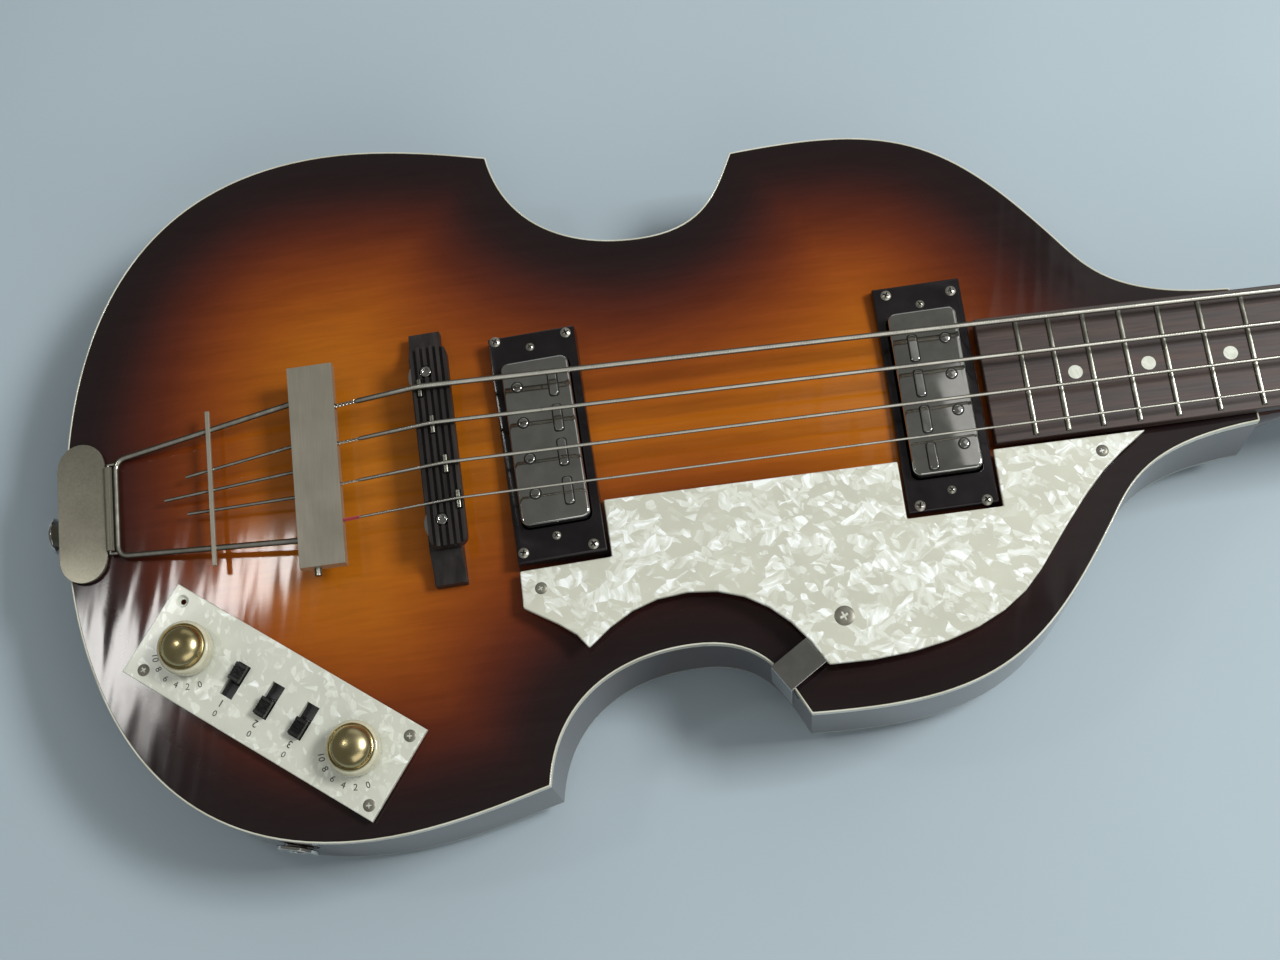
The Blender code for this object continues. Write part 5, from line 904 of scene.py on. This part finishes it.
for pickup, x, turn, ring_high in PICKUPS:
    place = LYING @ stand(x, PICKUP_Y, TOP_RIM, turn)
    body = pickup + "_pickup"
    high = ring_high + COVER_RISE
    half_x, half_y = COVER_WIDE / 2, COVER_LONG / 2
    cover = slab((-half_x, -half_y, high - COVER_DEEP), (half_x, half_y, high))
    round_over(cover, standing_edges(cover), 0.0032, 8)
    round_over(cover, edges_above(cover, high - 1e-5), 0.0009, 4)
    under = [f for f in cover.faces if all(v.co.z < high - COVER_DEEP + 1e-5 for v in f.verts)]
    bmesh.ops.delete(cover, geom=under, context="FACES_ONLY")
    shell = lay("chrome_cover_" + pickup, cover, CHROME, body, place, ["pickup_cover_" + pickup],
                smooth=50)
    thicken(shell, "cover_wall", COVER_WALL)
    finish_solid(COIL, "pickup_coil_" + pickup)
    poles, gaps, blades = [], [], []
    for spot_x, spot_y in POLES[pickup]:
        at = stand(spot_x, spot_y)
        gaps.append(drum(POLE_RADIUS + GAP_WIDE, high - 0.0006, high + GAP_RISE, 40, place=at))
        pole = drum(POLE_RADIUS, high - 0.0006, high + POLE_RISE, 40, place=at)
        round_over(pole, edges_above(pole, high + 0.0003), 0.0006, 4)
        poles.append(pole)
    for spot_x, spot_y in BLADES[pickup]:
        for grow, rise, made in ((GAP_WIDE, GAP_RISE, gaps), (0.0, BLADE_RISE, blades)):
            wide, long = (half + grow for half in BLADE_HALF)
            blade = slab((spot_x - wide, spot_y - long, high - 0.0006),
                         (spot_x + wide, spot_y + long, high + rise))
            round_over(blade, standing_edges(blade, 0.0004), 0.0012, 5)
            made.append(blade)
    lay("pole_gap_shade_" + pickup, join(*gaps), POLE_GAP_SHADE, body, place)
    lay("round_poles_" + pickup, join(*poles), CHROME, body, place, smooth=50)
    lay("blade_poles_" + pickup, join(*blades), CHROME, body, place, ease=0.0004)
    dress("black_ring_" + pickup, "pickup_ring_" + pickup, RING_PLASTIC,
          ease=0.0005)
    seat = ring_high - 0.0001
    spots = [((px, py, seat), px * 90 + py * 50) for px, py in RING_SCREWS[pickup]]
    screws("ring_screws_" + pickup, spots, 0.0022, SCREW_METAL, place=place)
    spots = [((px, py, seat), 0.6) for px, py in HEIGHT_SCREWS[pickup]]
    screws("height_screws_" + pickup, spots, 0.0018, SCREW_METAL, place=place)

# Tailpiece: a brushed plate is bent over the end of the body and screwed on. A wire frame hinges on it
# and carries the string anchor under a folded cover. A square crossbar and three prongs are brazed on.
BRUSHED = plain_metal("brushed_nickel", tone(158, 152, 136), tone(170, 164, 148), (0.16, 0.24),
                      (2.2, 0.06, 1), 1100, 0.04, shine=0.5)
BRUSHED_PLATE = plain_metal("satin_nickel", tone(122, 119, 104), tone(134, 131, 116), (0.14, 0.20),
                            fineness=900, depth=0.03, shine=0.5)
# The frame's wire carries a painted highlight along its crown and painted shade along its flanks
# (thin=True).
WIRE_METAL = plain_metal("frame_wire_painted_sheen", tone(176, 173, 160), tone(214, 211, 198), (0.12, 0.18),
                         depth=0.03, shine=0.7, thin=True)
bracket = eased_copy("tailpiece_bracket")
corners = []
for edge in bracket.edges:
    way = edge.verts[1].co - edge.verts[0].co
    up = abs(way.normalized().dot(LYING.to_3x3() @ Vector((0, 0, 1)))) > 0.999
    if up and 0.0012 < way.length < 0.0018 and 0.2 < edge.calc_face_angle(0) < 1.0:
        corners.append(edge)
round_over(bracket, corners, 0.0019, 4)
lay("end_plate", bracket, BRUSHED_PLATE, place=None, stands_for=["tailpiece_bracket"],
    smooth=30, ease=0.0004)

HINGE_X = -0.148325
HINGE_HIGH = 0.0557
PIN_X = -0.151525
ANCHOR_X = -0.063
ANCHOR_HIGH = 0.0715
ANCHOR_HALF = (0.006, 0.0395, 0.0025)
FRAME_WIRE = 0.0012
PIN_WIRE = 0.0008
PRONG_WIRE = 0.0007
CORNER_PULL = 0.0045
FOOT_Y = 0.0292
KNEE_Y = 0.0200
PIN_Y = (0.0136, 0.0186)
PRONGS = (((-0.1180, 0.0070), 0.0112), ((-0.1275, -0.0010), 0.0), ((-0.1180, -0.0084), -0.0110))


def frame_high(x):
    return HINGE_HIGH + (x - HINGE_X) / (ANCHOR_X - HINGE_X) * (ANCHOR_HIGH - HINGE_HIGH)


def bent_corner(before, corner, after, pull):
    """The wire's path round one corner."""
    before, corner, after = Vector(before), Vector(corner), Vector(after)
    start = corner + (before - corner).normalized() * pull
    end = corner + (after - corner).normalized() * pull
    points = []
    for step in range(9):
        t = step / 8
        points.append((1 - t) ** 2 * start + 2 * t * (1 - t) * corner + t * t * end)
    return points


feet = [(ANCHOR_X, side * FOOT_Y, ANCHOR_HIGH) for side in (1, -1)]
knees = [(HINGE_X, side * KNEE_Y, HINGE_HIGH) for side in (1, -1)]
path = [feet[0]] + bent_corner(feet[0], knees[0], knees[1], CORNER_PULL)
path += bent_corner(knees[0], knees[1], feet[1], CORNER_PULL) + [feet[1]]
parts = [wire(path, FRAME_WIRE, 16)]
for side in (1, -1):
    parts.append(wire([(PIN_X, side * PIN_Y[0], HINGE_HIGH), (PIN_X, side * PIN_Y[1], HINGE_HIGH),
                       (HINGE_X, side * PIN_Y[1], HINGE_HIGH)], PIN_WIRE))
for (x, y), foot in PRONGS:
    parts.append(wire([(x, y, frame_high(x)), (ANCHOR_X, foot, ANCHOR_HIGH)], PRONG_WIRE))
long, wide, deep = ANCHOR_HALF
parts.append(slab((ANCHOR_X - long, -wide, ANCHOR_HIGH - deep),
                  (ANCHOR_X + long, wide, ANCHOR_HIGH + deep)))
lay("wire_frame", join(*parts), WIRE_METAL, stands_for=["tailpiece_frame"], smooth=60)
bar_low = frame_high(-0.1075) + 0.00028
lay("crossbar", slab((-0.1084, -0.0320, bar_low), (-0.1066, 0.0320, bar_low + 0.0018)), BRUSHED,
    ease=0.0003)
dress("folded_cover", "tailpiece_cover", BRUSHED, ease=0.0004)
stud = drum(0.0014, -0.0440, -0.0400, 16)
bmesh.ops.rotate(stud, cent=(0, 0, 0), matrix=Matrix.Rotation(-math.pi / 2, 3, "X"), verts=stud.verts)
bmesh.ops.translate(stud, vec=(-0.0655, 0, TOP_RIM + 0.0190), verts=stud.verts)
lay("cover_stud", stud, WIRE_METAL, ease=0.0003)

# Strap buttons: turned from steel and chromed, each held by one wood screw. One goes through the end
# plate into the tail block, and the other into the heel.
for name in ("end", "heel"):
    dress(name + "_button_turned", name + "_strap_button", CHROME, smooth=50, ease=0.0004)

# Control plate: pearl plastic with a thin dark layer under it, screwed to the top over a hole that the
# pots and switches hang in. One of its four screws is missing and its hole is open.


def pearl_plastic(name, chip, turn, field, flake, glint, bare):
    """Cream plastic full of broken pearl flakes, each streaked its own way: the flakes are lighter, partly
    their own whiter colour and partly painted sheen, and the brightest carry a painted glint.
    """
    look, tree, shader = start_finish(name, Coat_Weight=0.4, Coat_Roughness=0.1)
    where = brew(tree, "TexCoord").outputs["Object"]
    sway = brew(tree, "TexNoise", {"Vector": where, "Scale": 130.0, "Detail": 2.0}).outputs["Color"]
    shift = brew(tree, "VectorMath", {0: sway, "Scale": 0.0035}, operation="SCALE").outputs["Vector"]
    bent = brew(tree, "VectorMath", {0: where, 1: shift}, operation="ADD").outputs["Vector"]
    layers = []
    for size, lean, long, rare in ((chip, turn, 1.7, bare), (chip * 1.9, turn + 1.1, 2.0, bare + 0.08)):
        turned = mapped(tree, bent, Rotation=(0, 0, lean), Location=(lean, 0, 0))
        drawn = mapped(tree, turned, Scale=(1, long, 1))
        chips = brew(tree, "TexVoronoi", {"Vector": drawn, "Scale": size}).outputs["Color"]
        own = brew(tree, "SeparateColor", {"Color": chips}).outputs
        angle = reckon(tree, "MULTIPLY", own["Red"], 6.283)
        spun = brew(tree, "VectorRotate", {"Vector": turned, "Angle": angle}, rotation_type="Z_AXIS")
        combed = mapped(tree, spun.outputs["Vector"], Scale=(1, 4, 1))
        streaks = brew(tree, "TexNoise", {"Vector": combed, "Scale": 90.0, "Detail": 4.0,
                                          "Distortion": 0.3}).outputs["Fac"]
        picked = spread(tree, own["Green"], 0.0, 1.0, rare, rare + 0.40)
        layers.append(reckon(tree, "MULTIPLY", picked, spread(tree, streaks, 0.15, 1.0, 0.40, 0.62)))
    light = reckon(tree, "MAXIMUM", *layers)
    cream = mixed(tree, spread(tree, grain(tree, 70)), field, [c * 0.90 for c in field[:3]] + [1])
    body = mixed(tree, spread(tree, light, 0.0, 1.0, 0.08, 0.45), cream, flake)
    # Painted glint where the flakes are brightest, laid over the flakes' painted sheen.
    paint(tree, shader, mixed(tree, spread(tree, light, 0.0, 1.0, 0.55, 0.9), body, glint),
          spread(tree, light, 0.34, 0.22, 0.0, 1.0))
    relief(tree, shader, light, 0.05)
    return look


PLATE_PEARL = pearl_plastic("control_pearl", 190.0, 0.6, tone(202, 204, 188), tone(218, 221, 207),
                            tone(244, 247, 241), 0.64)
PLATE_HIGH = 0.0022
PLATE_SCREWS = ((-0.0510, -0.0152), (0.0538, 0.0146), (0.0541, -0.0152))
OPEN_HOLE = (-0.0527, 0.0149)
ON_PLATE = LYING @ CONTROL
plate = moved(eased_copy("control_plate"), ON_PLATE.inverted())
brow = [e for e in edges_above(plate, PLATE_HIGH - 1e-5)
        if all(abs(v.co.x) > 0.055 for v in e.verts) or all(abs(v.co.y) > 0.019 for v in e.verts)]
round_over(plate, brow, 0.0004, 2)
open_at = stand(*OPEN_HOLE)
plate = carve(plate, drum(0.0012, -0.002, PLATE_HIGH + 0.001, 20, place=open_at),
              drum(0.0015, PLATE_HIGH - 0.0015, PLATE_HIGH + 0.0005, 32, 0.0029, place=open_at))
lay("pearl_control_plate", plate, PLATE_PEARL, place=ON_PLATE, stands_for=["control_plate"],
    smooth=1)
DULL_SCREW = plain_metal("dull_screw_steel", tone(112, 109, 97), tone(140, 137, 124), (0.36, 0.5),
                         shine=0.5)
spots = [((x, y, PLATE_HIGH - 0.00005), x * 40) for x, y in PLATE_SCREWS]
screws("control_plate_screws", spots, 0.0025, DULL_SCREW, place=ON_PLATE, flat=True)

# Volume knobs: a gold-plated cap with a domed face, pressed on a skirt of milky plastic. Each is pushed
# on the shaft of its pot, which hangs under the plate.
KNOB_APART = 0.0390
SKIRT_LOW = 0.0030
SKIRT_HIGH = 0.0115
SHAFT_RADIUS = 0.0030
DOME_RADIUS = 0.0082
DOME_HIGH = 0.0050
DOME_STEPS = 12
GOLD = one_grain("gold_cap", (90, (1, 1, 1), 5), ((0.3, tone(188, 172, 124)), (0.7, tone(212, 198, 152))),
                 (0.22, 0.30), 0.03, Metallic=1.0)
SKIRT = one_grain("milky_skirt", (200,), ((0.3, tone(182, 178, 150)), (0.7, tone(200, 198, 172))),
                  (0.2, 0.35), 0.06, Coat_Weight=0.5)
for end, side in (("rear", -1), ("front", 1)):
    place = ON_PLATE @ stand(side * KNOB_APART, 0)
    body = "volume_knob_" + end
    skirt = turned_shape([(0, SKIRT_LOW), (0.0098, SKIRT_LOW), (0.0102, SKIRT_LOW + 0.0012),
                          (0.0106, SKIRT_HIGH - 0.0030), (0.0105, SKIRT_HIGH - 0.0014),
                          (0.0101, SKIRT_HIGH - 0.0005), (0.0094, SKIRT_HIGH), (0, SKIRT_HIGH)], 64)
    shaft = drum(SHAFT_RADIUS, -0.0080, SKIRT_LOW + 0.001, 24)
    lay("knob_skirt_" + end, join(skirt, shaft), SKIRT, body, place, smooth=40)
    profile = [(0.0089, SKIRT_HIGH - 0.0002), (0.0091, SKIRT_HIGH + 0.0004),
               (0.0088, SKIRT_HIGH + 0.0008), (0.0084, SKIRT_HIGH + 0.0005),
               (DOME_RADIUS, SKIRT_HIGH + 0.0006)]
    for step in range(1, DOME_STEPS + 1):
        angle = math.pi / 2 * step / DOME_STEPS
        profile.append((DOME_RADIUS * math.cos(angle) if step < DOME_STEPS else 0.0,
                        SKIRT_HIGH + 0.0006 + DOME_HIGH * math.sin(angle)))
    lay("gold_cap_" + end, turned_shape(profile, 96), GOLD, body, place, [body], smooth=50)
finish_solid(STEEL, "volume_pot_rear", "volume_pot_front", "switch_frame_1", "switch_frame_2",
             "switch_frame_3")

# Slide switches: black plastic buttons with a grooved grip. Each slides in a steel frame under the
# plate and stands up through a slot in it.
SWITCH_APART = 0.0160
GRIP_HIGH = PLATE_HIGH + 0.0036
GROOVES = (-0.0018, -0.0006, 0.0006, 0.0018)
GROOVE_HALF = 0.0003
SWITCH_REST = ((1, 0.0031), (2, -0.0031), (3, -0.0031))
SWITCH_BLACK = gloss_plastic("switch_black", tone(9, 9, 9), tone(16, 15, 15), (0.22, 0.36))


def switch_x(number):
    return (number - 2) * SWITCH_APART - 0.001


for number, rest in SWITCH_REST:
    node = "switch_button_%d" % number
    place = ON_PLATE @ stand(switch_x(number), -0.0008 + rest)
    grooves = [slab((-0.004, y - GROOVE_HALF, GRIP_HIGH - 0.0006),
                    (0.004, y + GROOVE_HALF, GRIP_HIGH + 0.001)) for y in GROOVES]
    lay("grooved_button_%d" % number, carve(moved(eased_copy(node), place.inverted()), *grooves),
        SWITCH_BLACK, node, place, [node], ease=0.0002)

# Dial figures: small plain numbers, printed black on the pearl plate. They run from 0 to 10 round each
# knob, and a number and a 0 stand beside each switch.
FIGURE_REACH = 0.0140
FIGURE_HIGH = PLATE_HIGH + 0.00003


def figure(text, size, at):
    """A printed number as a thin shape, ready to be laid on the plate."""
    letters = bpy.data.curves.new("figure", "FONT")
    letters.body = text
    letters.size = size
    letters.align_x = "CENTER"
    letters.align_y = "CENTER"
    letters.resolution_u = 3
    letters.extrude = 0.00002
    holder = bpy.data.objects.new("figure", letters)
    bench.collection.objects.link(holder)
    flat = bpy.data.meshes.new_from_object(holder.evaluated_get(bpy.context.evaluated_depsgraph_get()))
    shape = bmesh.new()
    shape.from_mesh(flat)
    bpy.data.objects.remove(holder)
    bpy.data.curves.remove(letters)
    bpy.data.meshes.remove(flat)
    return moved(shape, at)


printed = []
for side in (-1, 1):
    for number in range(6):
        lean = 20 * number - 140
        angle = math.radians(lean)
        spot = stand(side * KNOB_APART + FIGURE_REACH * math.cos(angle), FIGURE_REACH * math.sin(angle),
                     FIGURE_HIGH, lean + 90)
        printed.append(figure(str(10 - 2 * number), 0.0036, spot))
for number in (1, 2, 3):
    for y, text, size in ((-0.0108, str(number), 0.0042), (-0.0152, "0", 0.0034)):
        printed.append(figure(text, size, stand(switch_x(number), y, FIGURE_HIGH, 180)))
INK = one_grain("printed_ink", (900, (1, 1, 1), 3), ((0.3, tone(34, 34, 32)), (0.7, tone(62, 62, 58))),
                (0.4, 0.6), 0.05)
lay("dial_figures", join(*printed), INK, place=ON_PLATE)

# Output jack: a chromed bush through the treble side. The wide ring outside holds it against the wood.
dress("chromed_jack", "output_jack", CHROME, smooth=40, ease=0.0004)

# Pickguard: pearl plastic with a bevelled edge, held over the top by two screws, a large screw and a
# folded chrome bracket on the treble side.
GUARD = LYING @ stand(0, 0, TOP_RIM + 0.0122, 0.85, "Y")
GUARD_PEARL = pearl_plastic("guard_pearl", 115.0, -0.4, tone(197, 197, 179), tone(214, 217, 204),
                            tone(240, 243, 238), 0.44)
dress("pearl_pickguard", "pickguard", GUARD_PEARL, ease=0.0007)
for name, spots, radius in (
        ("pickguard_screws", [((0.0180, -0.0587, 0.0), 0.5), ((0.2368, -0.0340, 0.0), 0.2)], 0.0024),
        ("pickguard_large_screw", [((0.1303, -0.0847, 0.0), 0.4)], 0.0039)):
    screws(name, spots, radius, DULL_SCREW, place=GUARD, flat=True)
dress("chrome_guard_bracket", "pickguard_bracket", CHROME, ease=0.0003)

# Studio: a plain pale blue-grey table, a small lamp above the tail and a soft one above the head, a wide
# soft lamp at each side and one on the ceiling, and the camera where the photograph was taken from.
LOW = -0.0003
table_paint, tree, shader = start_finish("pale_table", Roughness=0.6, Specular_IOR_Level=0.2)
paint(tree, shader, ramp(tree, grain(tree, 6, detail=2), (0.3, tone(162, 176, 182)),
                         (0.7, tone(166, 180, 186))))
mesh = as_mesh("table", slab((-4, -4, LOW - 0.02), (4, 4, LOW)))
mesh.materials.append(table_paint)
table_piece = bpy.data.objects.new("table", mesh)
bench.collection.objects.link(table_piece)


def lamp(name, spot, aim, wide, deep, power, colour):
    light = bpy.data.lights.new(name, "AREA")
    light.shape = "RECTANGLE"
    light.size = wide
    light.size_y = deep
    light.energy = power
    light.color = colour
    holder = bpy.data.objects.new(name, light)
    holder.location = spot
    holder.rotation_euler = (Vector(aim) - Vector(spot)).to_track_quat("-Z", "Y").to_euler()
    bench.collection.objects.link(holder)


MIDDLE = (-0.30, 0, 0.05)
lamp("tail_lamp", (-0.905, 0.188, 1.03), (-0.50, -0.06, 0.06), 0.09, 0.10, 0.62, (1.0, 0.98, 0.95))
lamp("side_softbox", (0.30, -1.60, 1.50), MIDDLE, 1.8, 1.2, 7.2, (1.0, 0.98, 0.96))
lamp("head_softbox", (1.00, 0.10, 1.60), (0.90, 0.10, 0), 0.6, 0.6, 39.0, (0.98, 0.99, 1.0))
lamp("back_softbox", (0.10, 2.00, 1.20), MIDDLE, 1.8, 1.0, 2.0, (0.98, 0.99, 1.0))
lamp("ceiling_panel", (0.76, 0.45, 1.70), (-0.10, 0.10, 0.05), 1.2, 1.4, 2.0, (1.0, 1.0, 0.98))
air = bpy.data.worlds.new("room")
air.use_nodes = True
glow = air.node_tree.nodes["Background"]
glow.inputs["Color"].default_value = (0.365, 0.375, 0.385, 1)
gloom = brew(air.node_tree, "Background", {"Color": (0.13, 0.13, 0.12, 1)})
ray = brew(air.node_tree, "LightPath").outputs["Is Glossy Ray"]
both = brew(air.node_tree, "MixShader",
            {0: ray, 1: glow.outputs["Background"], 2: gloom.outputs["Background"]})
air.node_tree.links.new(both.outputs["Shader"], air.node_tree.nodes["World Output"].inputs["Surface"])
bench.world = air
bench.view_settings.view_transform = "Standard"

EYE = Matrix(((0.989575, -0.117635, -0.083091), (0.137305, 0.944712, 0.297769),
              (0.043469, -0.306073, 0.951015))).transposed()
lens = bpy.data.cameras.new("camera")
lens.sensor_width = 36
lens.lens = 1917.1 / 1280 * lens.sensor_width
lens.clip_start = 0.01
camera = bpy.data.objects.new("camera", lens)
seen_from = stand(0.0925946, -0.2475679, 0.7150864 + TOP_RIM) @ EYE.to_4x4()
camera.matrix_world = LYING @ seen_from
bench.collection.objects.link(camera)
bench.camera = camera
